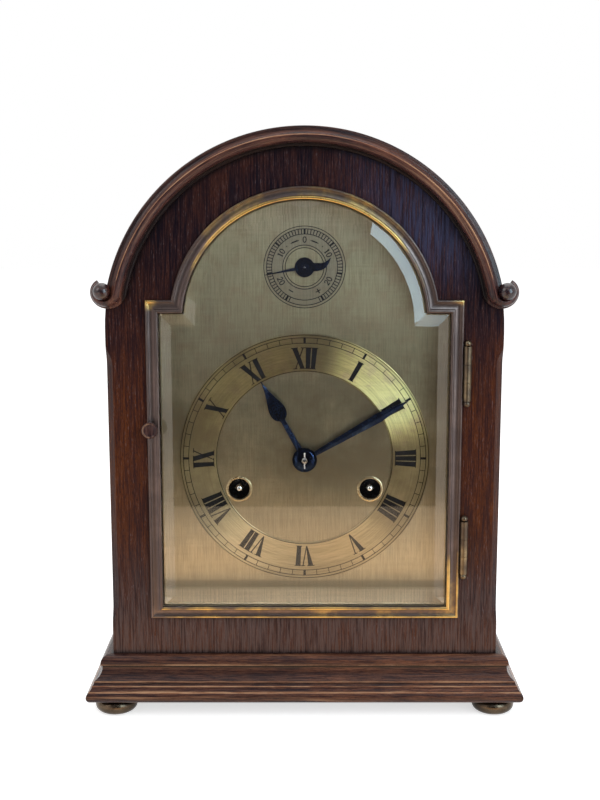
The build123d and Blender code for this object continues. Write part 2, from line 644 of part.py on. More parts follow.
def make_hood():
    """The arch moulding: a rolled edge between an outer hollow and an inner fillet, with scrolled ends."""
    inner = ARCH_RADIUS - HOOD_WIDTH
    face = PANEL_FRONT

    def at(radius, projection):
        return radius, face - projection

    roll = inner + 1.8
    ridge = ARCH_RADIUS - 3.6
    profile = make_face(
        [
            Line(at(inner, 0), at(inner, 3.0)),
            Line(at(inner, 3.0), at(roll, 3.4)),
            Line(at(roll, 3.4), at(roll + 0.2, HOOD_PROJECTION - 5.0)),
            ThreePointArc(
                at(roll + 0.2, HOOD_PROJECTION - 5.0),
                at(roll + 1.6, HOOD_PROJECTION - 1.2),
                at(ridge - 0.4, HOOD_PROJECTION),
            ),
            Line(at(ridge - 0.4, HOOD_PROJECTION), at(ridge, HOOD_PROJECTION - 0.3)),
            Line(at(ridge, HOOD_PROJECTION - 0.3), at(ridge + 0.2, HOOD_PROJECTION - 1.9)),
            ThreePointArc(
                at(ridge + 0.2, HOOD_PROJECTION - 1.9),
                at(ridge + 1.1, HOOD_PROJECTION - 3.4),
                at(ARCH_RADIUS - 1.0, HOOD_PROJECTION - 4.0),
            ),
            Line(at(ARCH_RADIUS - 1.0, HOOD_PROJECTION - 4.0), at(ARCH_RADIUS, HOOD_PROJECTION - 4.4)),
            Line(at(ARCH_RADIUS, HOOD_PROJECTION - 4.4), at(ARCH_RADIUS, 0)),
            Line(at(ARCH_RADIUS, 0), at(inner, 0)),
        ]
    )
    axis = Axis((0, 0, SPRING_HEIGHT), (0, -1, 0))
    arch = revolve(Pos(0, 0, SPRING_HEIGHT) * profile, axis, 180 - 2 * HOOD_EAR_ANGLE)
    hood = arch.rotate(axis, HOOD_EAR_ANGLE)
    bosses = []
    for side in (-1, 1):
        centre = (side * SCROLL_X, SCROLL_Z)
        scroll = rod(centre, SCROLL_RADIUS, face - SCROLL_PROJECTION, face)
        rim = scroll.edges().filter_by(GeomType.CIRCLE).sort_by(Axis.Y)[0]
        hood += fillet([rim], SCROLL_ROUNDING)
        boss_centre = (side * (SCROLL_X + BOSS_SHIFT), SCROLL_Z + BOSS_SHIFT)
        bosses.append(turned_boss(boss_centre, face - SCROLL_PROJECTION))
        hood -= rod(boss_centre, BOSS_RADIUS + CLEAR, face - 2 * HOOD_PROJECTION, face - SCROLL_PROJECTION)
    keep("hood_moulding", hood)
    keep("moulding_bosses", *bosses)


def turned_boss(centre, back):
    """A turned button: a short waist under a full dome."""
    waist = BOSS_RADIUS * 0.86
    profile = make_face(
        [
            Line((0, 0), (waist, 0)),
            Line((waist, 0), (waist, 0.7)),
            ThreePointArc(
                (waist, 0.7), (BOSS_RADIUS, BOSS_HEIGHT * 0.42), (BOSS_RADIUS * 0.72, BOSS_HEIGHT * 0.84)
            ),
            ThreePointArc(
                (BOSS_RADIUS * 0.72, BOSS_HEIGHT * 0.84),
                (BOSS_RADIUS * 0.44, BOSS_HEIGHT * 0.96),
                (BOSS_RADIUS * 0.12, BOSS_HEIGHT),
            ),
            Line((BOSS_RADIUS * 0.12, BOSS_HEIGHT), (0, BOSS_HEIGHT)),
            Line((0, BOSS_HEIGHT), (0, 0)),
        ]
    )
    button = revolve(profile, Axis.Y)
    return Pos(centre[0], back, centre[1]) * Rot(0, 0, 180) * button


# Glazed door and its hinges

FRONT_PIN = (DOOR_WIDTH / 2 + HINGE_BARREL + CLEAR / 2, PANEL_FRONT - HINGE_BARREL - 0.1)
REAR_DOOR_HALF = REAR_OPENING_HALF + REAR_DOOR_LAP
REAR_PIN = (REAR_DOOR_HALF + REAR_HINGE_OFFSET, CASE_BACK + REAR_PIN_PROUD)


def barrel(pin, low, high):
    tube = Cylinder(HINGE_BARREL, high - low) - Cylinder(HINGE_PIN + RUNNING, high - low)
    return Pos(pin[0], pin[1], (low + high) / 2) * tube


def knuckles(height):
    """Heights of the hinge's joints: the middle third belongs to the door."""
    third = HINGE_LENGTH / 3
    low = height - HINGE_LENGTH / 2
    return low, low + third, low + 2 * third, low + HINGE_LENGTH


def pin_hole(pin, height):
    return Pos(pin[0], pin[1], height) * Cylinder(HINGE_PIN + RUNNING, 2 * HINGE_LENGTH)


def hinge_pin(pin, height):
    """A pin with a ball finial at each end."""
    ball_height = HINGE_LENGTH / 2 + HINGE_FINIAL * 0.8
    shaft = Cylinder(HINGE_PIN, HINGE_LENGTH + HINGE_FINIAL)
    balls = [Pos(0, 0, end * ball_height) * Sphere(HINGE_FINIAL) for end in (-1, 1)]
    reach = HINGE_LENGTH / 2 - HINGE_FINIAL
    ends = [Pos(0, 0, end * reach) * Box(9, 9, 2 * HINGE_FINIAL) for end in (-1, 1)]
    trimmed = [ball - end for ball, end in zip(balls, ends)]
    return Pos(pin[0], pin[1], height) * (shaft + trimmed[0] + trimmed[1])


def front_leaf_slot(height):
    """The mortise in the front panel that takes a hinge's fixed leaf."""
    low, _, _, high = knuckles(height)
    return block(
        FRONT_PIN[0] - HINGE_LEAF / 2,
        FRONT_PIN[0] + HINGE_LEAF / 2,
        PANEL_FRONT - 1,
        PANEL_FRONT + HINGE_LEAF_DEPTH,
        low,
        high,
    )


def front_hinge(height):
    """Fixed half with its leaf let into the panel, and door half with its leaf under the bezel."""
    low, first, second, high = knuckles(height)
    fixed = barrel(FRONT_PIN, low, first) + barrel(FRONT_PIN, second, high)
    for bottom, top in ((low, first), (second, high)):
        fixed += block(
            FRONT_PIN[0] - HINGE_LEAF / 2,
            FRONT_PIN[0] + HINGE_LEAF / 2,
            FRONT_PIN[1] + HINGE_BARREL - 0.5,
            PANEL_FRONT + HINGE_LEAF_DEPTH,
            bottom,
            top,
        )
    fixed += block(
        FRONT_PIN[0] - HINGE_LEAF / 2,
        FRONT_PIN[0] + HINGE_LEAF / 2,
        PANEL_FRONT + 0.6,
        PANEL_FRONT + HINGE_LEAF_DEPTH,
        low,
        high,
    )
    moving = barrel(FRONT_PIN, first + CLEAR, second - CLEAR)
    moving += door_leaf(height)
    return fixed - pin_hole(FRONT_PIN, height), moving - pin_hole(FRONT_PIN, height)


def door_leaf(height):
    _, first, second, _ = knuckles(height)
    edge = DOOR_WIDTH / 2
    return block(
        edge - BEZEL_WIDTH * 0.6,
        FRONT_PIN[0] - HINGE_PIN,
        PANEL_FRONT - CLEAR / 2 - HINGE_LEAF,
        PANEL_FRONT - CLEAR / 2,
        first + CLEAR,
        second - CLEAR,
    )


def rear_hinge(height):
    """Fixed half cranked down to the back frame, and door half lying on the door's back."""
    low, first, second, high = knuckles(height)
    fixed = barrel(REAR_PIN, low, first) + barrel(REAR_PIN, second, high)
    for bottom, top in ((low, first), (second, high)):
        fixed += block(
            REAR_PIN[0] + HINGE_BARREL - HINGE_LEAF,
            REAR_PIN[0] + HINGE_BARREL,
            REAR_FRAME_BACK,
            REAR_PIN[1],
            bottom,
            top,
        )
    fixed += block(
        REAR_PIN[0] + HINGE_BARREL - HINGE_LEAF,
        INNER_HALF - CLEAR,
        REAR_FRAME_BACK,
        REAR_FRAME_BACK + HINGE_LEAF,
        low,
        high,
    )
    moving = barrel(REAR_PIN, first + CLEAR, second - CLEAR)
    moving += block(
        REAR_DOOR_HALF - HINGE_LEAF_DEPTH,
        REAR_PIN[0] - HINGE_PIN,
        CASE_BACK,
        CASE_BACK + HINGE_LEAF,
        first + CLEAR,
        second - CLEAR,
    )
    return fixed - pin_hole(REAR_PIN, height), moving - pin_hole(REAR_PIN, height)


def make_doors():
    front = PANEL_FRONT
    hollow = front - BEZEL_HOLLOW_HEIGHT
    rim = front - BEZEL_RIM_HEIGHT
    crown = front - BEZEL_PROJECTION
    bead = BEZEL_WIDTH - BEZEL_BEAD
    bezel = door_layers([(0, front), (0, rim + 0.5), (0.4, rim)])
    bezel -= door_layers([(BEZEL_RIM, hollow), (BEZEL_RIM - 0.3, rim - 0.1)])
    bezel += door_layers(
        [
            (bead, front),
            (bead, hollow - 0.6),
            (bead + 0.35, crown + 0.8),
            (bead + 0.9, crown + 0.2),
            (bead + 1.5, crown),
            (bead + 1.9, crown),
        ]
    )
    bezel -= door_layers(
        [(BEZEL_WIDTH, front + 1), (BEZEL_WIDTH, crown + 1.3)]
        + [(BEZEL_WIDTH - 0.5, crown + 0.4), (bead + 1.9, crown - 0.1)]
    )
    glass_edge = BEZEL_WIDTH - GLASS_REBATE
    seat = front - CLEAR
    bezel -= door_layers([(glass_edge - CLEAR / 2, front + 1), (glass_edge - CLEAR / 2, seat - GLASS_EDGE)])
    stem = (-DOOR_WIDTH / 2 + KNOB_INSET, KNOB_HEIGHT)
    bezel -= rod(stem, KNOB_STEM_RADIUS + RUNNING, crown - 1, front + 1)
    for height in (HINGE_LOWER, HINGE_UPPER):
        bezel -= door_leaf(height)
    keep("door_bezel", bezel)

    glass = slab(break_arch(glass_edge), seat - GLASS_EDGE, seat)
    glass += door_layers(
        [(BEZEL_WIDTH, seat - GLASS_EDGE), (BEZEL_WIDTH + GLASS_BEVEL, seat - GLASS_THICKNESS)]
    )
    keep("door_glass", glass)
    outer, inner = BEZEL_WIDTH + CLEAR, BEZEL_WIDTH + CLEAR + RETAINER_WIDTH
    retainer = slab(break_arch(outer) - break_arch(inner), seat, seat + RETAINER_DEPTH)
    keep("glass_retainer", retainer)

    disc_back = crown - KNOB_STEM
    knob = rod(stem, KNOB_STEM_RADIUS, disc_back, front - CLEAR)
    disc = rod(stem, KNOB_RADIUS, disc_back - KNOB_THICKNESS, disc_back)
    front_edge = disc.edges().filter_by(GeomType.CIRCLE).sort_by(Axis.Y)[0]
    keep("door_knob", knob + fillet([front_edge], 0.7))

    door = round_top(REAR_DOOR_HALF, REAR_OPENING_BOTTOM - REAR_DOOR_LAP, REAR_OPENING_CENTRE)
    keep("rear_door", slab(door, REAR_FRAME_BACK, CASE_BACK))
    knob_at = (-REAR_DOOR_HALF + REAR_KNOB_INSET, REAR_KNOB_HEIGHT)
    neck = rod(knob_at, REAR_KNOB_RADIUS * 0.45, CASE_BACK, CASE_BACK + PLINTH_REAR_OVERHANG * 0.5)
    head = rod(
        knob_at, REAR_KNOB_RADIUS, CASE_BACK + PLINTH_REAR_OVERHANG * 0.4, CASE_BACK + PLINTH_REAR_OVERHANG
    )
    back_edge = head.edges().filter_by(GeomType.CIRCLE).sort_by(Axis.Y)[-1]
    keep("rear_door_knob", neck + fillet([back_edge], 1.6))

    fronts = [front_hinge(height) for height in (HINGE_LOWER, HINGE_UPPER)]
    rears = [rear_hinge(height) for height in (REAR_HINGE_LOWER, REAR_HINGE_UPPER)]
    keep("case_hinge_leaves", *[fixed for fixed, _ in fronts + rears])
    keep("front_door_hinge_leaves", *[moving for _, moving in fronts])
    keep("rear_door_hinge_leaves", *[moving for _, moving in rears])
    pins = [hinge_pin(FRONT_PIN, height) for height in (HINGE_LOWER, HINGE_UPPER)]
    pins += [hinge_pin(REAR_PIN, height) for height in (REAR_HINGE_LOWER, REAR_HINGE_UPPER)]
    keep("hinge_pins", *pins)


# Dial and hands


def make_dial():
    face = break_arch(BEZEL_WIDTH - DIAL_LAP)
    ferrule_outer = WINDING_HOLE + FERRULE_WALL
    for centre in (GOING_BARREL, STRIKE_BARREL):
        face -= Pos(*centre) * Circle(WINDING_HOLE)
    face -= Pos(*CENTRE) * Circle(PIPE_RADIUS + 2 * CLEAR)
    face -= Pos(*REGULATOR) * Circle(ARBOR + RUNNING)
    keep("dial_plate", slab(face, DIAL_FRONT, DIAL_BACK))
    numerals = ring(CENTRE, RING_OUTER, RING_INNER, RING_FRONT, DIAL_FRONT)
    for centre in (GOING_BARREL, STRIKE_BARREL):
        numerals -= rod(centre, ferrule_outer + CLEAR, RING_FRONT, DIAL_FRONT)
    keep("chapter_ring", numerals)
    ferrules = [
        ring(centre, ferrule_outer, WINDING_HOLE, DIAL_FRONT - FERRULE_PROUD, DIAL_FRONT)
        for centre in (GOING_BARREL, STRIKE_BARREL)
    ]
    keep("winding_ferrules", *ferrules)
    keep("dial_posts", *[rod(post, DIAL_POST_RADIUS, DIAL_BACK, FRONT_PLATE_FRONT) for post in DIAL_POSTS])


def hand(outline, boss, bore, centre, angle, back):
    """A flat hand drawn pointing up, turned clockwise to its angle."""
    face = Pos(*centre) * Rot(0, 0, -angle) * (outline + Circle(boss) - Circle(bore))
    return slab(face, back - HAND_THICKNESS, back)


def hour_outline():
    """A stem that opens into a round-heeled leaf."""
    stem = HOUR_STEM_WIDTH / 2
    leaf = HOUR_LEAF_WIDTH / 2
    heel = HOUR_LEAF_START
    widest = heel + 6.5
    edges = [
        Line((-stem, 0), (stem, 0)),
        Line((stem, 0), (stem * 0.8, heel)),
        ThreePointArc((stem * 0.8, heel), (leaf * 0.86, heel + 2.2), (leaf, widest)),
        ThreePointArc((leaf, widest), (leaf * 0.48, heel + 15.0), (0.25, HOUR_LENGTH)),
        Line((0.25, HOUR_LENGTH), (-0.25, HOUR_LENGTH)),
        ThreePointArc((-0.25, HOUR_LENGTH), (-leaf * 0.48, heel + 15.0), (-leaf, widest)),
        ThreePointArc((-leaf, widest), (-leaf * 0.86, heel + 2.2), (-stem * 0.8, heel)),
        Line((-stem * 0.8, heel), (-stem, 0)),
    ]
    return make_face(edges)


def minute_outline():
    root = MINUTE_ROOT_WIDTH / 2
    wide = MINUTE_WIDTH / 2
    right = [(root, 0), (root, MINUTE_BOSS), (wide, MINUTE_WIDEST), (0.4, MINUTE_LENGTH)]
    left = [(-x, z) for x, z in reversed(right)]
    return polygon(right + left)


def regulator_outline():
    """A fine pointer with a curled leaf for a tail."""
    tail = -REGULATOR_TAIL
    leaf = make_face(
        [
            ThreePointArc((-2.6, 0), (-2.0, tail * 0.55), (2.2, tail)),
            ThreePointArc((2.2, tail), (2.7, tail * 0.6), (3.4, 0)),
            Line((3.4, 0), (-2.6, 0)),
        ]
    )
    pointer = polygon([(-0.9, 0), (0.9, 0), (0.25, REGULATOR_POINTER), (-0.25, REGULATOR_POINTER)])
    return leaf + pointer


def make_hands():
    hour = hand(hour_outline(), HOUR_BOSS, PIPE_RADIUS + RUNNING, CENTRE, HOUR_ANGLE, HOUR_HAND_BACK)
    keep("hour_hand", hour)
    bore = CANNON_RADIUS + RUNNING
    minute = hand(minute_outline(), MINUTE_BOSS, bore, CENTRE, MINUTE_ANGLE, MINUTE_HAND_BACK)
    keep("minute_hand", minute)
    washer_front = WASHER_BACK - WASHER_THICKNESS
    washer = ring(CENTRE, WASHER_RADIUS, ARBOR + RUNNING, washer_front, WASHER_BACK)
    dome = washer.edges().filter_by(GeomType.CIRCLE).sort_by(SortBy.RADIUS)[-2:].sort_by(Axis.Y)[0]
    pin = Cylinder(TAPER_PIN_RADIUS, TAPER_PIN_LENGTH)
    keep(
        "hand_washer_and_pin",
        fillet([dome], WASHER_THICKNESS * 0.6),
        Pos(CENTRE[0], taper_pin_depth(), CENTRE[1]) * pin,
    )
    regulator = hand(
        regulator_outline(),
        REGULATOR_BOSS,
        ARBOR + RUNNING,
        REGULATOR,
        REGULATOR_ANGLE,
        DIAL_FRONT - HAND_GAP,
    )
    keep("regulator_hand", regulator)


def taper_pin_depth():
    return WASHER_BACK - WASHER_THICKNESS - TAPER_PIN_RADIUS - RUNNING


# Movement frame


def make_frame():
    half = PLATE_WIDTH / 2
    outline = polygon([(-half, PLATE_BOTTOM), (half, PLATE_BOTTOM), (half, PLATE_TOP), (-half, PLATE_TOP)])
    small_pivots = [SECOND, STRIKE_SECOND, THIRD, ESCAPE, PIN_WHEEL, WARNING, FLY, PALLET]
    front, back = outline, outline
    for pivot in small_pivots:
        front -= Pos(*pivot) * Circle(PIVOT + RUNNING)
        back -= Pos(*pivot) * Circle(PIVOT + RUNNING)
    for winding in (GOING_BARREL, STRIKE_BARREL):
        front -= Pos(*winding) * Circle(WINDING_ARBOR + RUNNING)
        back -= Pos(*winding) * Circle(WINDING_ARBOR * 0.7 + RUNNING)
    front -= Pos(*CENTRE) * Circle(ARBOR + RUNNING)
    back -= Pos(*CENTRE) * Circle(PIVOT + RUNNING)
    front -= Pos(*HAMMER) * Circle(PIVOT + RUNNING)
    back -= Pos(*HAMMER) * Circle(ARBOR + RUNNING)
    for pillar in PILLARS:
        front -= Pos(*pillar) * Circle(PILLAR_STUD_RADIUS + RUNNING)
        back -= Pos(*pillar) * Circle(PILLAR_STUD_RADIUS + RUNNING)
    stud = rod(MINUTE_WHEEL, ARBOR, FRONT_PLATE_FRONT - 9.5, FRONT_PLATE_FRONT)
    keep("front_plate", slab(front, FRONT_PLATE_FRONT, FRONT_PLATE_BACK) + stud)
    keep("back_plate", slab(back, BACK_PLATE_FRONT, BACK_PLATE_BACK))
    pillars, nuts = [], []
    for pillar in PILLARS:
        body = rod(pillar, PILLAR_RADIUS, FRONT_PLATE_BACK, BACK_PLATE_FRONT)
        body += rod(
            pillar,
            PILLAR_STUD_RADIUS,
            FRONT_PLATE_FRONT - PILLAR_NUT_HEIGHT,
            BACK_PLATE_BACK + PILLAR_NUT_HEIGHT,
        )
        pillars.append(body)
        nut = Pos(*pillar) * (RegularPolygon(PILLAR_NUT_RADIUS, 6) - Circle(PILLAR_STUD_RADIUS + RUNNING))
        nuts.append(slab(nut, BACK_PLATE_BACK, BACK_PLATE_BACK + PILLAR_NUT_HEIGHT))
        nuts.append(slab(nut, FRONT_PLATE_FRONT - PILLAR_NUT_HEIGHT, FRONT_PLATE_FRONT))
    keep("plate_pillars", *pillars)
    keep("pillar_nuts", *nuts)

    seat_front = DIAL_BACK + 3.0
    seat = block(
        -INNER_HALF, INNER_HALF, seat_front, BACK_PLATE_BACK, PLATE_BOTTOM - SEAT_THICKNESS, PLATE_BOTTOM
    )
    cleats = []
    for side in (-1, 1):
        low, high = sorted((side * (INNER_HALF - CLEAT_SIZE), side * INNER_HALF))
        top = PLATE_BOTTOM - SEAT_THICKNESS
        cleats.append(block(low, high, seat_front, BACK_PLATE_BACK, top - CLEAT_SIZE, top))
    keep("seat_board_and_cleats", seat, *cleats)


# Trains


def make_barrel(name, centre, pinion):
    """Great wheel and drum, the spring coiled in it, and the winding arbor through both."""
    front = level(GREAT_LEVEL)
    drum_front = front + GREAT_WHEEL
    drum_back = drum_front + DRUM_LENGTH
    bore = WINDING_ARBOR + RUNNING
    great = slab(
        wheel_face(centre, GREAT_TEETH, GREAT_MODULE, WHEEL_FORM, toward(centre, pinion)), front, drum_front
    )
    drum = great + rod(centre, DRUM_RADIUS, drum_front, drum_back)
    drum -= rod(centre, DRUM_RADIUS - DRUM_WALL, drum_front + DRUM_CAP, drum_back - DRUM_CAP)
    drum -= rod(centre, bore, front - 1, drum_back + 1)
    keep(f"{name}_barrel", drum)

    coil_outer = DRUM_RADIUS - DRUM_WALL - RUNNING
    coil = ring(
        centre,
        coil_outer,
        coil_outer - SPRING_COIL_WALL,
        drum_front + DRUM_CAP + CLEAR,
        drum_back - DRUM_CAP - CLEAR,
    )
    keep(f"{name}_mainspring", coil)

    ratchet_back = FRONT_PLATE_FRONT - CLEAR
    ratchet_front = ratchet_back - RATCHET_THICKNESS
    points = []
    for tooth in range(RATCHET_TEETH):
        for reach, share in ((RATCHET_RADIUS, 0.0), (RATCHET_RADIUS - 1.3, 0.12)):
            angle = 2 * math.pi * (tooth + share) / RATCHET_TEETH
            points.append((centre[0] + reach * math.cos(angle), centre[1] + reach * math.sin(angle)))
    ratchet = slab(polygon(points), ratchet_front, ratchet_back)
    arbor = rod(centre, WINDING_ARBOR, FRONT_PLATE_FRONT - 8.0, drum_back + 1.0)
    arbor += rod(centre, WINDING_ARBOR * 0.7, drum_back, BACK_PLATE_BACK)
    arbor += ratchet
    square_front = DIAL_FRONT + 0.8
    square = slab(
        Pos(*centre) * Rot(0, 0, 45) * Rectangle(WINDING_SQUARE, WINDING_SQUARE),
        square_front,
        FRONT_PLATE_FRONT - 8.0,
    )
    tip = square.faces().sort_by(Axis.Y)[0]
    keep(f"{name}_winding_arbor", arbor + chamfer(tip.edges(), 0.7))


def make_clicks():
    """The pawl beside each ratchet, with its tip just outside the teeth."""
    back = FRONT_PLATE_FRONT
    pawls = []
    for side in (-1, 1):
        pivot = (side * (WINDING_X + 10.5), GOING_BARREL[1] - 11.5)
        barrel_centre = (side * WINDING_X, GOING_BARREL[1])
        tip = away(barrel_centre, RATCHET_RADIUS + 0.5, toward(barrel_centre, pivot) - side * 28)
        bearing = toward(pivot, tip)
        length = math.dist(pivot, tip)
        arm = polygon([(0, -2.2), (length, -0.5), (length, 0.5), (0, 2.2)])
        face = Pos(*pivot) * (Rot(0, 0, bearing) * arm + Circle(2.6))
        pawls.append(slab(face, back - CLEAR - RATCHET_THICKNESS, back))
    keep("ratchet_clicks", *pawls)


def make_going_train():
    centre_front = level(CENTRE_LEVEL)
    second_front = level(SECOND_LEVEL)
    make_barrel("going", GOING_BARREL, SECOND)

    second = pivoted_arbor(SECOND)
    second += spoked_wheel(SECOND, SECOND_TEETH, SECOND_MODULE, toward(SECOND, CENTRE), second_front)
    second += leaf_pinion(
        SECOND, GREAT_PINION, GREAT_MODULE, toward(SECOND, GOING_BARREL), level(GREAT_LEVEL), GREAT_WHEEL
    )
    keep("second_wheel", second)

    centre = rod(CENTRE, ARBOR, FRONT_PLATE_FRONT - 1, BACK_PLATE_FRONT - CLEAR)
    centre += rod(CENTRE, PIVOT, BACK_PLATE_FRONT - 1, BACK_PLATE_BACK)
    centre += spoked_wheel(CENTRE, CENTRE_TEETH, CENTRE_MODULE, toward(CENTRE, THIRD), centre_front)
    centre += leaf_pinion(CENTRE, SECOND_PINION, SECOND_MODULE, toward(CENTRE, SECOND), second_front)
    cannon_front = FRONT_PLATE_FRONT - 1.5 - WHEEL
    centre += leaf_pinion(CENTRE, CANNON_TEETH, CANNON_MODULE, toward(CENTRE, MINUTE_WHEEL), cannon_front)
    centre += rod(CENTRE, CANNON_RADIUS, WASHER_BACK, FRONT_PLATE_FRONT - 0.4)
    centre += rod(CENTRE, ARBOR, ARBOR_TIP, WASHER_BACK)
    pin_hole = Cylinder(TAPER_PIN_RADIUS + RUNNING, TAPER_PIN_LENGTH)
    centre -= Pos(CENTRE[0], taper_pin_depth(), CENTRE[1]) * pin_hole
    keep("centre_arbor", centre)

    third_front = level(UPPER_LEVEL)
    third = pivoted_arbor(THIRD, PIVOT + 0.1)
    third += leaf_pinion(THIRD, CENTRE_PINION, CENTRE_MODULE, toward(THIRD, CENTRE), centre_front)
    third += spoked_wheel(THIRD, THIRD_TEETH, THIRD_MODULE, toward(THIRD, ESCAPE), third_front)
    keep("third_wheel", third)

    escape = pivoted_arbor(ESCAPE, PIVOT)
    escape += leaf_pinion(ESCAPE, THIRD_PINION, THIRD_MODULE, toward(ESCAPE, THIRD), third_front)
    points = []
    for tooth in range(ESCAPE_TEETH):
        root = ESCAPE_RADIUS - 2.2
        for reach, share in ((root, -0.12), (ESCAPE_RADIUS, 0.42), (root, 0.36)):
            angle = 2 * math.pi * (tooth + share) / ESCAPE_TEETH
            points.append((ESCAPE[0] + reach * math.cos(angle), ESCAPE[1] + reach * math.sin(angle)))
    face = polygon(points) - crossings(ESCAPE, 2.6, ESCAPE_RADIUS - 3.6, 4, 1.5)
    escape += slab(face, level(ESCAPE_LEVEL), level(ESCAPE_LEVEL) + 1.2)
    keep("escape_wheel", escape)


def make_motion_work():
    wheel_front = FRONT_PLATE_FRONT - 1.5 - WHEEL
    hour_front = wheel_front - 3.6
    minute = spoked_wheel(
        MINUTE_WHEEL, MINUTE_WHEEL_TEETH, CANNON_MODULE, toward(MINUTE_WHEEL, CENTRE), wheel_front
    )
    pinion = wheel_face(
        MINUTE_WHEEL, MINUTE_PINION_TEETH, HOUR_MODULE, PINION_FORM, toward(MINUTE_WHEEL, CENTRE), gap=True
    )
    minute += slab(pinion, hour_front - 0.4, wheel_front)
    minute -= rod(MINUTE_WHEEL, ARBOR + RUNNING, hour_front - 2, FRONT_PLATE_FRONT)
    keep("minute_wheel", minute)
    hour = slab(
        wheel_face(CENTRE, HOUR_WHEEL_TEETH, HOUR_MODULE, WHEEL_FORM, toward(CENTRE, MINUTE_WHEEL)),
        hour_front,
        hour_front + WHEEL,
    )
    hour += rod(CENTRE, PIPE_RADIUS, HOUR_HAND_BACK - HAND_THICKNESS, hour_front)
    hour -= rod(CENTRE, CANNON_RADIUS + RUNNING, HOUR_HAND_BACK - 10, hour_front + 5)
    keep("hour_wheel", hour)


def make_strike_train():
    make_barrel("strike", STRIKE_BARREL, STRIKE_SECOND)
    second_front = level(STRIKE_SECOND_LEVEL)
    upper_front = level(UPPER_LEVEL)
    warning_front = level(WARNING_LEVEL)

    second = pivoted_arbor(STRIKE_SECOND)
    second += spoked_wheel(
        STRIKE_SECOND, SECOND_TEETH, SECOND_MODULE, toward(STRIKE_SECOND, PIN_WHEEL), second_front
    )
    second += leaf_pinion(
        STRIKE_SECOND,
        GREAT_PINION,
        GREAT_MODULE,
        toward(STRIKE_SECOND, STRIKE_BARREL),
        level(GREAT_LEVEL),
        GREAT_WHEEL,
    )
    keep("strike_second_wheel", second)

    pin_wheel = pivoted_arbor(PIN_WHEEL)
    pin_wheel += leaf_pinion(
        PIN_WHEEL, SECOND_PINION, SECOND_MODULE, toward(PIN_WHEEL, STRIKE_SECOND), second_front
    )
    pin_wheel += spoked_wheel(
        PIN_WHEEL, PIN_WHEEL_TEETH, PIN_WHEEL_MODULE, toward(PIN_WHEEL, WARNING), upper_front, WHEEL + 0.5
    )
    pin_back = upper_front + WHEEL + 0.5
    for pin in range(LIFTING_PINS):
        spot = away(PIN_WHEEL, LIFTING_PIN_CIRCLE, 360 * pin / LIFTING_PINS)
        pin_wheel += rod(spot, LIFTING_PIN_RADIUS, pin_back - 0.5, pin_back + LIFTING_PIN_LENGTH)
    keep("pin_wheel", pin_wheel)

    warning = pivoted_arbor(WARNING, PIVOT + 0.1)
    warning += leaf_pinion(
        WARNING, PIN_WHEEL_PINION, PIN_WHEEL_MODULE, toward(WARNING, PIN_WHEEL), upper_front, WHEEL + 0.5
    )
    warning += spoked_wheel(WARNING, WARNING_TEETH, WARNING_MODULE, toward(WARNING, FLY), warning_front)
    keep("warning_wheel", warning)

    fly = pivoted_arbor(FLY, PIVOT)
    fly += leaf_pinion(FLY, WARNING_PINION, WARNING_MODULE, toward(FLY, WARNING), warning_front)
    vane_front = level(ESCAPE_LEVEL)
    vane = Pos(*FLY) * Rectangle(2 * FLY_HALF, 0.6) + Pos(*FLY) * Circle(2.0)
    fly += slab(vane, vane_front, vane_front + FLY_LENGTH)
    keep("strike_fly", fly)


# Escapement, pendulum and regulator


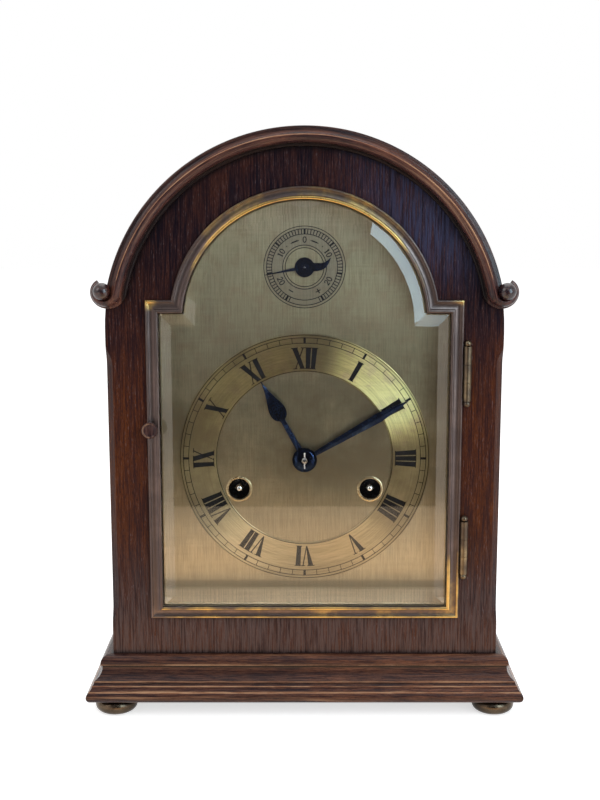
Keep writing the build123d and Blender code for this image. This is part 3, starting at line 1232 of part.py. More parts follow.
def make_pendulum():
    escape_front = level(ESCAPE_LEVEL)
    reach = PALLET_DISTANCE - ESCAPE_RADIUS - PALLET_CLEARANCE
    span = ESCAPE_RADIUS * 0.8
    tip = -reach - PALLET_DEPTH
    arm = [
        ThreePointArc((-span, tip), (0, -reach + 0.1), (span, tip)),
        Line((span, tip), (span + 2.4, tip + 0.6)),
        ThreePointArc((span + 2.4, tip + 0.6), (0, 2.4), (-span - 2.4, tip + 0.6)),
        Line((-span - 2.4, tip + 0.6), (-span, tip)),
    ]
    anchor = Pos(*PALLET) * (make_face(arm) + Circle(3.0))
    crutch_front = BACK_PLATE_BACK + 2.0
    pallets = slab(anchor, escape_front - 0.6, escape_front + 1.8)
    pallets += rod(PALLET, PIVOT + 0.4, FRONT_PLATE_BACK + CLEAR, BACK_PLATE_FRONT - CLEAR)
    pallets += rod(PALLET, PIVOT, FRONT_PLATE_FRONT, crutch_front + 1.4)
    pallets += rod(PALLET, 2.6, crutch_front, crutch_front + 1.2)
    crutch_low = PALLET[1] - CRUTCH_LENGTH
    pallets += block(-0.9, 0.9, crutch_front, crutch_front + 1.2, crutch_low, PALLET[1])
    fork = ROD_RADIUS + CRUTCH_PLAY
    pallets += block(-fork - 1.4, fork + 1.4, crutch_front, crutch_front + 1.2, crutch_low, crutch_low + 3)
    for side in (-1, 1):
        low, high = sorted((side * fork, side * (fork + 1.4)))
        pallets += block(low, high, crutch_front, PENDULUM_Y + ROD_RADIUS + 1, crutch_low, crutch_low + 3)
    keep("pallet_anchor", pallets)

    pivot = PALLET[1]
    strip_bottom = pivot - SPRING_STRIP
    strip = block(-0.15, 0.15, PENDULUM_Y - 2.5, PENDULUM_Y + 2.5, strip_bottom, pivot)
    bob_centre = pivot - PENDULUM_LENGTH
    bob_bottom = bob_centre - BOB_RADIUS
    rod_bottom = bob_bottom - NUT_HEIGHT - 3
    clamp = block(-2.4, 2.4, PENDULUM_Y - 3, PENDULUM_Y + 3, strip_bottom - 6, strip_bottom)
    shaft = Pos(0, PENDULUM_Y, (rod_bottom + strip_bottom) / 2 - 2) * Cylinder(
        ROD_RADIUS, strip_bottom - rod_bottom - 4
    )
    keep("pendulum_rod", strip + clamp + shaft)
    lens_radius = (BOB_RADIUS**2 + (BOB_THICKNESS / 2) ** 2) / BOB_THICKNESS
    lens_offset = lens_radius - BOB_THICKNESS / 2
    front_half = Pos(0, lens_offset, 0) * Sphere(lens_radius)
    back_half = Pos(0, -lens_offset, 0) * Sphere(lens_radius)
    bob = (front_half & back_half) - Cylinder(ROD_RADIUS + RUNNING, 4 * BOB_RADIUS)
    keep("pendulum_bob", Pos(0, PENDULUM_Y, bob_centre) * bob)
    nut = Cylinder(NUT_RADIUS, NUT_HEIGHT) - Cylinder(ROD_RADIUS + RUNNING, NUT_HEIGHT)
    keep("rating_nut", Pos(0, PENDULUM_Y, bob_bottom - NUT_HEIGHT / 2) * nut)


def make_regulator():
    pitch_radius = RACK_MODULE * RACK_PINION / 2
    cock_back = BACK_PLATE_BACK + COCK_THICKNESS
    slide_front = PENDULUM_Y - SLIDE_DEPTH / 2
    slide_back = PENDULUM_Y + SLIDE_DEPTH / 2
    pinion = wheel_face(REGULATOR, RACK_PINION, RACK_MODULE, PINION_FORM, 180, gap=True)
    arbor = rod(REGULATOR, ARBOR, DIAL_FRONT - HAND_GAP - HAND_THICKNESS - 0.8, cock_back + 0.8)
    arbor += slab(pinion, cock_back + 0.4, slide_back + 1)
    keep("regulator_arbor", arbor)

    tooth_pitch = math.pi * RACK_MODULE
    addendum, dedendum, root, half, tip = WHEEL_FORM
    teeth = 14
    profile = []
    for tooth in range(-teeth // 2 + 3, teeth // 2 + 3):
        middle = REGULATOR_HEIGHT - 2 * tooth_pitch - (tooth - 3) * tooth_pitch
        flank = [(-dedendum, root), (0, half), (addendum, tip)]
        flank += [(reach, -share) for reach, share in reversed(flank)]
        for reach, share in flank:
            profile.append((-pitch_radius + reach * RACK_MODULE, middle + share * tooth_pitch / 2))
    bar_low, bar_high = PALLET[1] + 6, REGULATOR_HEIGHT + 9
    root_x = -pitch_radius - dedendum * RACK_MODULE
    back = [(root_x, bar_low), (-RACK_HALF, bar_low), (-RACK_HALF, bar_high)]
    outline = [(root_x, bar_high)] + profile + back
    slide = slab(polygon(outline), slide_front, slide_back)
    slide += block(-RACK_HALF, RACK_HALF - 2, slide_front, slide_back, PALLET[1] + RUNNING, bar_low + 3)
    keep("suspension_slide", slide)

    cheek = -RACK_HALF - CLEAR
    cock = block(-13, 13, BACK_PLATE_BACK, cock_back, PALLET[1] + 4, REGULATOR_HEIGHT + 8)
    cock -= rod(REGULATOR, ARBOR + RUNNING, BACK_PLATE_BACK - 1, cock_back + 1)
    low, high = PALLET[1] + 16, REGULATOR_HEIGHT - 10
    cock += block(cheek - 3, cheek, BACK_PLATE_BACK, slide_back + CLEAR + 1.5, low, high)
    cock += block(cheek - 3, -3, slide_back + CLEAR, slide_back + CLEAR + 1.5, low, high)
    right = root_x + addendum * RACK_MODULE + dedendum * RACK_MODULE + CLEAR + 0.3
    cock += block(right, right + 3, BACK_PLATE_BACK, slide_back, low, high)
    keep("pendulum_cock", cock)


# Gong and hammer


def gong_path():
    """A flat spiral of half circles on two centres, in the plane of the coil."""
    arcs = []
    start = GONG_INNER
    for turn in range(GONG_HALF_TURNS):
        radius = GONG_INNER + turn * GONG_PITCH / 2
        middle = 0.0 if turn % 2 == 0 else GONG_PITCH / 2
        sign = 1 if turn % 2 == 0 else -1
        end = middle - sign * radius
        arcs.append(ThreePointArc((start, 0), (middle, sign * radius), (end, 0)))
        start = end
    return Wire(arcs)


def make_gong():
    path = Pos(0, GONG_Y, GONG_HEIGHT) * (FACING * gong_path())
    section = Plane(origin=path @ 0, z_dir=path % 0) * Circle(GONG_WIRE)
    coil = sweep(section, path=path)
    keep("gong_coil", coil)
    gap = round(GONG_PITCH - 2 * GONG_WIRE, 2)
    print("gong coil: least gap between turns", gap, "mm, length", round(path.length, 1))

    post_front = GONG_Y + GONG_WIRE + 1.5
    half = GONG_POST_WIDTH / 2
    block_top = GONG_HEIGHT + half
    post = block(-half, half, post_front, post_front + GONG_POST_DEPTH, PLINTH_TOP, block_top)
    post += block(
        -GONG_FOOT_WIDTH / 2,
        GONG_FOOT_WIDTH / 2,
        post_front - GONG_POST_DEPTH / 2,
        post_front + 1.5 * GONG_POST_DEPTH,
        PLINTH_TOP,
        PLINTH_TOP + GONG_FOOT_HEIGHT,
    )
    hub = GONG_INNER - GONG_WIRE - 0.1
    post += rod((0, GONG_HEIGHT), hub, GONG_Y - GONG_WIRE - 1, post_front)
    keep("gong_block", post)


def gong_reach():
    """How far the coil's outermost turn reaches to the left of its centre."""
    last = GONG_INNER + (GONG_HALF_TURNS - 1) * GONG_PITCH / 2
    return last + GONG_WIRE


def make_hammer():
    face_x = -gong_reach() - HAMMER_REST_GAP
    head_height = HAMMER_HEIGHT - HAMMER_ARM
    head = Pos(face_x - HAMMER_HEAD_LENGTH / 2, GONG_Y, head_height) * Rot(0, 90, 0) * Cylinder(
        HAMMER_HEAD_RADIUS, HAMMER_HEAD_LENGTH
    )
    foot = (face_x - HAMMER_HEAD_LENGTH / 2, head_height)
    arm_length = math.dist(HAMMER, foot)
    arm = Pos(*HAMMER) * Rot(0, 0, toward(HAMMER, foot)) * Pos(arm_length / 2, 0) * Rectangle(arm_length, 3.0)
    hammer = rod(HAMMER, PIVOT, FRONT_PLATE_FRONT, FRONT_PLATE_BACK + 1)
    hammer += rod(HAMMER, ARBOR, FRONT_PLATE_BACK + CLEAR, GONG_Y + 2)
    hammer += slab(arm + Pos(*HAMMER) * Circle(3.2), GONG_Y - 1.2, GONG_Y + 1.2)
    hammer += head
    tail_length = math.dist(HAMMER, PIN_WHEEL) - LIFTING_PIN_CIRCLE - LIFTING_PIN_RADIUS - 0.5
    tail = Pos(*HAMMER) * Rot(0, 0, toward(HAMMER, PIN_WHEEL)) * Pos(tail_length / 2, 0)
    tail_face = tail * Rectangle(tail_length, 2.0) + Pos(*HAMMER) * Circle(3.0)
    tail_front = level(UPPER_LEVEL) + WHEEL + 1.0
    hammer += slab(tail_face, tail_front, tail_front + 2.0)
    keep("strike_hammer", hammer)


make_plinth()
make_case()
make_hood()
make_doors()
make_dial()
make_hands()
make_frame()
make_going_train()
make_motion_work()
make_strike_train()
make_clicks()
make_pendulum()
make_regulator()
make_gong()
make_hammer()

os.makedirs("parts", exist_ok=True)
for node, shape in PARTS.items():
    export_step(shape, f"parts/{node}.step")
print(len(PARTS), "nodes")
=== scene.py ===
import math

import bmesh
import bpy
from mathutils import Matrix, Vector


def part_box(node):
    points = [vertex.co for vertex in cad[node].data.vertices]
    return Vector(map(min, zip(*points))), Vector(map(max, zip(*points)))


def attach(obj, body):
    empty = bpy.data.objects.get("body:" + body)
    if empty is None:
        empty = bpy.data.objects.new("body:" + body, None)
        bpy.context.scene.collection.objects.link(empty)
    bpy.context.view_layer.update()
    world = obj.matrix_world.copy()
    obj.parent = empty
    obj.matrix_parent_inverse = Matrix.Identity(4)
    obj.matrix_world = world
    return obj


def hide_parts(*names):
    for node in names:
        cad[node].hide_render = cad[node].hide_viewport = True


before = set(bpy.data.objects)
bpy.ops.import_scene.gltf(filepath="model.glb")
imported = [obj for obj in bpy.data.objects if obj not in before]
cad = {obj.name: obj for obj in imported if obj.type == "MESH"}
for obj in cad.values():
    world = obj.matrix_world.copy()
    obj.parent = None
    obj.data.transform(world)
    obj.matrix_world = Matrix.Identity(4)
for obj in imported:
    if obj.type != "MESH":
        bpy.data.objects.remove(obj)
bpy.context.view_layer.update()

# Base board: one flat oak board that the case stands on, stained like the rest and glued
# into the plinth. Its back edge and its underside are all that shows of it.
OAK_DEEP, OAK_BROWN = (0.0062, 0.0040, 0.0078, 1), (0.034, 0.0115, 0.0095, 1)
OAK_WARM = (0.092, 0.0225, 0.0030, 1)
# OAK_GRIME_SHADE is the near-black laid in inside corners, hollows and under the hood: partly grime, partly
# painted shade.
OAK_BARE, OAK_FLECK, OAK_GRIME_SHADE = (0.36, 0.205, 0.115, 1), (0.15, 0.135, 0.155, 1), (0.0030, 0.0022, 0.0026, 1)


def step(tree, kind, sockets=None, **settings):
    """One step of a finish: sockets get a number, a colour or another step's output."""
    node = tree.nodes.new("ShaderNode" + kind)
    for name, value in settings.items():
        setattr(node, name, value)
    for name, value in (sockets or {}).items():
        if isinstance(value, bpy.types.NodeSocket):
            tree.links.new(value, node.inputs[name])
        else:
            node.inputs[name].default_value = value
    return node


def blend(share, first, second):
    return step(share.id_data, "Mix", {0: share, 6: first, 7: second}, data_type="RGBA").outputs[2]


def spread(value, low, high, out_low=0.0, out_high=1.0, soft=True):
    sockets = {"Value": value, "From Min": low, "From Max": high, "To Min": out_low, "To Max": out_high}
    ease = "SMOOTHSTEP" if soft else "LINEAR"
    return step(value.id_data, "MapRange", sockets, interpolation_type=ease).outputs[0]


def sums(how, first, second):
    return step(first.id_data, "Math", {0: first, 1: second}, operation=how).outputs[0]


def times(first, second):
    return sums("MULTIPLY", first, second)


def own_place(tree):
    return step(tree, "TexCoord").outputs["Object"]


def mapped(tree, title, kind):
    return step(tree, "Attribute", attribute_name=title).outputs[kind]


def parts_of(place):
    return step(place.id_data, "SeparateXYZ", {0: place}).outputs


def squeezed(place, stretch):
    """The place drawn together along the grain, so that what is laid on it comes out long."""
    return step(place.id_data, "VectorMath", {0: place, 1: stretch}, operation="MULTIPLY").outputs[0]


def grains(place, size, detail=3.0, rough=0.55, twist=0.0):
    sockets = {"Vector": place, "Scale": size, "Detail": detail, "Roughness": rough, "Distortion": twist}
    return step(place.id_data, "TexNoise", sockets).outputs["Fac"]


def new_finish(name):
    finish = bpy.data.materials.new(name)
    finish.use_nodes = True
    return finish, finish.node_tree, finish.node_tree.nodes["Principled BSDF"]


def settle(shader, values):
    for name, value in values.items():
        shader.inputs[name].default_value = value


def lay_on(shader, colour, rough, height=None, strength=0.0, deep=0.0001, metal=0.0):
    """Gives a finish its colour and roughness, and with a height a fine relief."""
    tree = shader.id_data
    settle(shader, {"Metallic": metal})
    tree.links.new(colour, shader.inputs["Base Color"])
    tree.links.new(rough, shader.inputs["Roughness"])
    if height is not None:
        relief = step(tree, "Bump", {"Strength": strength, "Distance": deep, "Height": height})
        tree.links.new(relief.outputs[0], shader.inputs["Normal"])


def stained_oak(name, stretch, laid=None, places=None, worn=False, flecks=0.5, shift=0.0,
                warmth=0.0, brown=OAK_BROWN, warm=OAK_WARM, fine=1.0, gloss=0.18):
    """Dark stained oak. stretch squeezes the direction of the grain, laid names the grain's own map.
    places gives the parts that are warmer and those darkened as grime and painted shade, warmth adds to the
    warm share all over, fine draws the grain closer, gloss is how much the polish mirrors."""
    finish, tree, shader = new_finish(name)
    place = own_place(tree)
    along = mapped(tree, laid, "Vector") if laid else place
    aside = (shift, shift * 0.7, shift * 0.4)
    moved = step(tree, "VectorMath", {0: along, 1: aside}, operation="ADD").outputs[0]
    grain = squeezed(moved, stretch)
    short = tuple(min(1.0, part * 4) for part in stretch)
    dashes = squeezed(moved, short)
    fibres = grains(grain, 1150 * fine, 4, 0.75, 0.2)
    bands = grains(grain, 230 * fine, 3, 0.55, 0.5)
    pores = grains(dashes, 2900, 2, 0.5)
    patches = grains(place, 17, 4, 0.6)
    tone = sums("ADD", times(fibres, 0.74), times(bands, 0.26))
    share = spread(patches, 0.38, 0.66, warmth, warmth + 0.5)
    grime_and_shade = None
    if places:
        warmer, grime_and_shade = places(place)
        share = sums("ADD", times(share, 0.5), warmer)
    dark = blend(spread(tone, 0.42, 0.59), OAK_DEEP, brown)
    light = blend(spread(tone, 0.40, 0.62), brown, warm)
    colour = blend(share, dark, light)
    dark_pores = spread(pores, 0.56, 0.66)
    colour = blend(times(dark_pores, 0.6), colour, OAK_DEEP)
    dust = times(spread(pores, 0.46, 0.33), spread(fibres, 0.50, 0.66))
    colour = blend(times(dust, flecks), colour, OAK_FLECK)
    if worn:
        rubbed = mapped(tree, "worn", "Fac")
        ragged = sums("ADD", rubbed, spread(bands, 0.3, 0.7, -0.3, 0.2, False))
        bare = blend(spread(tone, 0.4, 0.6), warm, OAK_BARE)
        colour = blend(spread(ragged, 0.3, 0.8), colour, bare)
        # Worn values below nought darken inside corners and hollows: partly grime, partly painted shade.
        grime_and_shade = spread(rubbed, 0.0, -0.6, 0, 0.9)
    if grime_and_shade is not None:
        colour = blend(grime_and_shade, colour, OAK_GRIME_SHADE)
    height = sums("SUBTRACT", fibres, times(dark_pores, 0.8))
    lay_on(shader, colour, spread(fibres, 0.3, 0.75, 0.21, 0.37), height, 0.3, 0.00015)
    settle(shader, {"Specular IOR Level": gloss, "Coat Weight": 0.05, "Coat Roughness": 0.20})
    return finish


def dress(finish, *nodes):
    for node in nodes:
        for held in cad[node].material_slots:
            held.material = finish


GRAIN_X, GRAIN_Y, GRAIN_Z = (0.04, 1, 1), (1, 0.04, 1), (1, 1, 0.04)
dress(stained_oak("base_board_oak", GRAIN_X), "base_board")

# Plinth: three strips of oak run through a moulding cutter and mitred at the front corners.
# Years of dusting have rubbed the stain off the sharp edges down to golden wood.
CASE_HALF, PANEL_FACE, PLINTH_BACK, PLINTH_TOP = 108.0, -66.0, 80.0, 34.0
MITRE_GAP = 0.06


def arc_points(start, middle, end, count):
    """Points from start to end on the circle through middle, without start itself."""
    ax, ay, bx, by, cx, cy = *start, *middle, *end
    d = 2 * (ax * (by - cy) + bx * (cy - ay) + cx * (ay - by))
    a2, b2, c2 = ax * ax + ay * ay, bx * bx + by * by, cx * cx + cy * cy
    ux = (a2 * (by - cy) + b2 * (cy - ay) + c2 * (ay - by)) / d
    uy = (a2 * (cx - bx) + b2 * (ax - cx) + c2 * (bx - ax)) / d
    radius = math.hypot(ax - ux, ay - uy)
    first, mid, last = (math.atan2(p[1] - uy, p[0] - ux) for p in (start, middle, end))
    turn = (last - first) % math.tau
    if (mid - first) % math.tau > turn:
        turn -= math.tau
    angles = [first + turn * (i + 1) / count for i in range(count)]
    return [(ux + radius * math.cos(a), uy + radius * math.sin(a)) for a in angles]


def skin(rows, ring=False, loop=False, ends=False):
    """Faces over rows of points. ring closes each row, loop joins the last row to the first, and
    ends are capped."""
    count, total = len(rows[0]), len(rows)
    faces = []
    for i in range(total if loop else total - 1):
        for j in range(count if ring else count - 1):
            k, n = (j + 1) % count, (i + 1) % total
            faces.append((i * count + j, i * count + k, n * count + k, n * count + j))
    if ends:
        faces.append(tuple(reversed(range(count))))
        faces.append(tuple(range((total - 1) * count, total * count)))
    return [point for row in rows for point in row], faces


def make_piece(name, *skins, crease=32, **maps):
    """A mesh from skins in millimetres. Each map is a function of a point that gives a number or a vector."""
    points, faces = [], []
    for own_points, own_faces in skins:
        faces += [tuple(i + len(points) for i in face) for face in own_faces]
        points += own_points
    mesh = bpy.data.meshes.new(name)
    mesh.from_pydata([Vector(point) * 0.001 for point in points], [], faces)
    work = bmesh.new()
    work.from_mesh(mesh)
    bmesh.ops.remove_doubles(work, verts=work.verts, dist=1e-7)
    bmesh.ops.dissolve_degenerate(work, edges=work.edges, dist=1e-7)
    bmesh.ops.recalc_face_normals(work, faces=work.faces)
    work.to_mesh(mesh)
    work.free()
    for title, measure in maps.items():
        values = [measure(*(vertex.co * 1000)) for vertex in mesh.vertices]
        if isinstance(values[0], tuple):
            flat = [part * 0.001 for value in values for part in value]
            mesh.attributes.new(title, "FLOAT_VECTOR", "POINT").data.foreach_set("vector", flat)
        else:
            mesh.attributes.new(title, "FLOAT", "POINT").data.foreach_set("value", values)
    mesh.shade_smooth()
    mesh.set_sharp_from_angle(angle=math.radians(crease))
    piece = bpy.data.objects.new(name, mesh)
    bpy.context.scene.collection.objects.link(piece)
    return piece


def fit(piece, finish, body, slot, *nodes):
    """The piece's finish, the body it moves with, its slot, which is not used, and the solids that it stands
    for.
    """
    piece.data.materials.append(finish)
    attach(piece, body)
    if nodes:
        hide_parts(*nodes)
    return piece


strip = [(0, 34), (3.2, 34)] + arc_points((3.2, 34), (5.3, 32.8), (6.5, 29.6), 12)
strip += [(6.6, 29.2), (6.5, 28.8), (6.25, 28.62), (5.6, 28.5)]
strip += arc_points((5.6, 28.5), (6.9, 23.2), (9.6, 20.7), 16) + [(9.75, 20.5), (9.8, 20.2)]
strip += arc_points((9.8, 20.2), (10.0, 19.2), (10.6, 18.5), 6) + [(10.9, 18.3), (11.0, 18.0), (11.0, 17.7)]
strip += [(11.2, 17.1), (12.2, 15.6), (12.5, 15.3), (12.7, 15.1)]
strip += arc_points((12.7, 15.1), (14.0, 12.3), (12.6, 9.5), 16) + [(0, 9.5)]
plinth_edges = [((3.6, 33.9), 0.7, 0.35), ((6.6, 29.0), 0.42, 1.0), ((9.75, 20.5), 0.4, 0.7)]
plinth_edges += [((10.95, 18.2), 0.4, 0.9), ((12.6, 15.2), 0.42, 1.0)]
# Inside corners, the hollow and under the nosing: darkened partly as grime, partly as painted shade.
plinth_shaded_corners = [((0.0, 34.0), 1.2, 1.0), ((5.7, 28.3), 1.0, 0.85), ((6.6, 24.6), 2.4, 0.34)]
plinth_shaded_corners += [((9.95, 19.4), 0.5, 0.6), ((11.1, 17.3), 0.5, 0.5), ((13.4, 14.1), 0.6, 0.45)]
PLINTH_BROWN, PLINTH_WARM = (0.046, 0.0190, 0.0140, 1), (0.165, 0.060, 0.028, 1)


def plinth_wear(overhang, z):
    """Rubbed edges count up from nought; inside corners, the hollow and the underside of the nosing count
    down, darkened partly as grime and partly as painted shade.
    """
    def near(spots):
        return max(much * math.exp(-(math.dist((overhang, z), at) / reach) ** 2) for at, reach, much in spots)
    return near(plinth_edges) - near(plinth_shaded_corners) + 0.08


def front_wear(x, y, z):
    corner = (0.17 + 0.16 * math.exp(-(((122 + x) / 26) ** 2))) * (1.0 if z < 17.5 else 0.0)
    return min(1.0, plinth_wear(PANEL_FACE - y, z) + corner)


half = CASE_HALF - MITRE_GAP
rows = [[(side * (half + out), PANEL_FACE - out, z) for out, z in strip] for side in (-1, 1)]
plinth_tones = {"brown": PLINTH_BROWN, "warm": PLINTH_WARM, "warmth": 0.22}
plinth_tones |= {"flecks": 0.12, "worn": True, "fine": 1.5}
oak = stained_oak("plinth_front_oak", GRAIN_X, shift=0.31, **plinth_tones)
strip_piece = make_piece("plinth_front_strip", skin(rows, ring=True, ends=True), worn=front_wear)
fit(strip_piece, oak, "case", "case_wood", "base_moulding")
oak = stained_oak("plinth_side_oak", GRAIN_Y, shift=0.62, **plinth_tones)
for side, hand in ((-1, "left"), (1, "right")):
    rows = [[(side * (CASE_HALF + out), PANEL_FACE - out + MITRE_GAP, z) for out, z in strip]]
    rows.append([(side * (CASE_HALF + out), PLINTH_BACK, z) for out, z in strip])
    wear = lambda x, y, z: plinth_wear(abs(x) - CASE_HALF, z)
    strip_piece = make_piece(f"plinth_{hand}_strip", skin(rows, ring=True, ends=True), worn=wear)
    fit(strip_piece, oak, "case", "case_wood", "base_moulding")

# Feet: four turned brass buns, each on a short neck, screwed up into the plinth's corners.
# They have gone dark brown, with a little bright metal left where they bulge.
FOOT_PLACES = [(side * 107.0, end * 65.0) for side in (-1, 1) for end in (-1, 1)]
FOOT_METAL, FOOT_TARNISH = (0.125, 0.090, 0.058, 1), (0.034, 0.026, 0.021, 1)


def old_brass(name, metal, tarnish, cover, rough, bare=None, size=90.0, brushed=None):
    """Brass under tarnish. cover is how much of it is dulled, bare is the metal where it is rubbed
    clean, brushed squeezes the direction of its polish marks."""
    finish, tree, shader = new_finish(name)
    place = own_place(tree)
    clouds = grains(place, size, 5, 0.62)
    specks = grains(place, size * 9, 3, 0.6)
    marks = grains(place, 1400, 2)
    if brushed:
        pulled = squeezed(place, brushed)
        marks = grains(pulled, 2200, 3, 0.6)
    dull = sums("ADD", clouds, times(specks, 0.12))
    dull = spread(dull, 0.82 - cover, 1.26 - cover)
    colour = blend(dull, metal, tarnish)
    if bare:
        rubbed = mapped(tree, "worn", "Fac")
        ragged = sums("ADD", rubbed, spread(clouds, 0.3, 0.7, -0.3, 0.3, False))
        clean = spread(ragged, 0.3, 0.9)
        colour = blend(clean, colour, bare)
        dull = times(dull, spread(clean, 1, 0))
    matt = spread(dull, 0, 1, rough, rough + 0.16, False)
    matt = sums("ADD", matt, spread(marks, 0.3, 0.7, -0.05, 0.06, False))
    lay_on(shader, colour, matt, sums("ADD", marks, specks), 0.05, metal=1.0)
    return finish


def turned(profile, centre, axis="y", steps=64):
    """A turned shape: profile holds radius and height, and the height runs along +Z or towards the front."""
    rows = []
    for i in range(steps):
        c, s = math.cos(math.tau * i / steps), math.sin(math.tau * i / steps)
        if axis == "z":
            rows.append([(centre[0] + r * c, centre[1] + r * s, centre[2] + h) for r, h in profile])
        else:
            rows.append([(centre[0] + r * c, centre[1] - h, centre[2] + r * s) for r, h in profile])
    return skin(rows, loop=True)


bun = [(0, 0), (6.6, 0), (7.6, 0.25)] + arc_points((7.6, 0.25), (11.9, 4.6), (9.4, 8.2), 18)
bun += [(8.7, 8.45), (8.5, 8.7), (8.5, 9.2), (8.8, 9.5), (8.8, 10.0), (0, 10.0)]
buns = [turned(bun, (*place, 0), "z") for place in FOOT_PLACES]
brass = old_brass("foot_brass", FOOT_METAL, FOOT_TARNISH, 0.55, 0.20, size=60)
fit(make_piece("brass_bun_feet", *buns), brass, "case", "foot_brass", "bun_feet")

# Case shell: two oak sides and the round top, glued up and veneered over as one wrap.
# The grain runs up one side, over the arch and down the other, and its back edges are eased.
ARCH_CENTRE, SHELL_WALL, SHELL_FRONT, SHELL_BACK, EASED = 217.0, 9.0, -52.0, 74.0, 0.9


def wrap_place(x, y, z):
    """How far along the wrap a point is, then its depth."""
    if z <= ARCH_CENTRE:
        run = z - ARCH_CENTRE if x < 0 else math.pi * CASE_HALF + ARCH_CENTRE - z
    else:
        run = (math.pi - math.atan2(z - ARCH_CENTRE, x)) * CASE_HALF
    return run, y, math.hypot(x, max(z - ARCH_CENTRE, 0)) - CASE_HALF


wall = [(0, SHELL_FRONT), (0, SHELL_BACK - EASED)]
wall += [(EASED * 0.3, SHELL_BACK - EASED * 0.3), (EASED, SHELL_BACK)]
wall += [(SHELL_WALL - depth, y) for depth, y in reversed(wall)]
rows = [[(depth - CASE_HALF, y, PLINTH_TOP) for depth, y in wall]]
for i in range(97):
    angle = math.pi * (1 - i / 96)
    c, s = math.cos(angle), math.sin(angle)
    rows.append([((CASE_HALF - d) * c, y, ARCH_CENTRE + (CASE_HALF - d) * s) for d, y in wall])
rows.append([(CASE_HALF - depth, y, PLINTH_TOP) for depth, y in wall])
shell_wear = lambda x, y, z: 0.55 * math.exp(-(((SHELL_BACK - y) / 1.0) ** 2))
oak = stained_oak("case_shell_oak", GRAIN_X, laid="grain", worn=True, flecks=0.3, warmth=0.06)
shell = make_piece("case_shell", skin(rows, ring=True, ends=True), grain=wrap_place, worn=shell_wear)
fit(shell, oak, "case", "case_wood", "case_sides", "case_arch")

# Front panel: one oak board with upright grain, sawn to the arch and cut out for the dial.
# Its two front corners carry stopped chamfers, and sun has warmed the stain on the stiles.


def arch_reach(parts, centre):
    """How far a spot on the front is from the centre of an arch at that height."""
    rise = sums("SUBTRACT", parts[2], centre)
    above = step(rise.id_data, "CombineXYZ", {0: parts[0], 1: rise}).outputs[0]
    return step(rise.id_data, "VectorMath", {0: above}, operation="LENGTH").outputs["Value"]


def sunned_stiles(place):
    """Warm stiles beside the door, grime along the plinth, and painted shade under the hood."""
    parts = parts_of(place)
    across = sums("ABSOLUTE", parts[0], 0)
    stile = spread(across, 0.080, 0.090)
    height = times(spread(parts[2], 0.050, 0.120), spread(parts[2], 0.228, 0.180))
    warmer = times(times(stile, height), 0.72)
    warmer = sums("ADD", warmer, spread(parts[2], 0.062, 0.044, 0, 0.42))
    reach = arch_reach(parts, 0.001 * ARCH_CENTRE)
    # Painted shade on the face just under the hood moulding.
    hood_shade = times(spread(reach, 0.0945, 0.0976), spread(parts[2], 0.225, 0.240))
    face = sums("LESS_THAN", parts[1], 0.001 * (PANEL_FACE + 0.2))
    grime_and_shade = sums("MAXIMUM", spread(parts[2], 0.0365, 0.0345), times(hood_shade, face))
    return warmer, times(grime_and_shade, 0.8)


SIGHT_PAINT, SIGHT_HALF, SIGHT_LOW, SIGHT_TOP = (0.70, 0.57, 0.42, 1), 0.0791, 0.0619, 0.2266
SIGHT_ARCH, SIGHT_ARCH_Z = 0.0661, 0.221
# PAINTED_SHEEN_BLUE is a painted reflection; DUST_AND_SHEEN_MAUVE is partly dust and partly painted sheen.
PAINTED_SHEEN_BLUE, DUST_AND_SHEEN_MAUVE = (0.032, 0.034, 0.068, 1), (0.100, 0.066, 0.060, 1)


def paint_sight_edge(finish):
    """Pale bronze paint on the sawn edge inside the opening, where the glass shows it, and on the
    face a painted blue reflection at the upper right and a mauve-grey band along the bottom, partly dust and
    partly painted sheen."""
    tree, shader = finish.node_tree, finish.node_tree.nodes["Principled BSDF"]
    place = own_place(tree)
    parts = parts_of(place)
    across = sums("ABSOLUTE", parts[0], 0)
    level = times(sums("GREATER_THAN", parts[2], SIGHT_LOW), sums("LESS_THAN", parts[2], SIGHT_TOP))
    square = times(level, sums("LESS_THAN", across, SIGHT_HALF))
    inside = sums("MAXIMUM", square, sums("LESS_THAN", arch_reach(parts, SIGHT_ARCH_Z), SIGHT_ARCH))
    streaks = grains(squeezed(place, GRAIN_Z), 1300, 3, 0.7)
    # Painted reflection: a blue sheen on the upper right of the face.
    sheen_share = times(spread(parts[0], 0.005, 0.070), spread(parts[2], 0.228, 0.268))
    sheen_share = times(sheen_share, spread(streaks, 0.40, 0.62, 0.15, 0.95))
    face = sums("LESS_THAN", parts[1], 0.001 * (PANEL_FACE + 0.2))
    wood = shader.inputs["Base Color"].links[0].from_socket
    wood = blend(times(sheen_share, face), wood, PAINTED_SHEEN_BLUE)
    # Mauve-grey along the bottom of the face: partly dust, partly painted sheen.
    dust_and_sheen = times(spread(parts[2], 0.110, 0.048), spread(streaks, 0.38, 0.60, 0.08, 0.62))
    wood = blend(times(dust_and_sheen, face), wood, DUST_AND_SHEEN_MAUVE)
    rubs = spread(grains(place, 160, 4), 0.3, 0.7, 0, 0.35)
    faded = blend(rubs, SIGHT_PAINT, OAK_WARM)
    tree.links.new(blend(inside, wood, faded), shader.inputs["Base Color"])
    return finish


panel_oak = stained_oak("front_panel_oak", GRAIN_Z, places=sunned_stiles, flecks=0.5, shift=0.17, gloss=0.07)
dress(paint_sight_edge(panel_oak), "case_front")

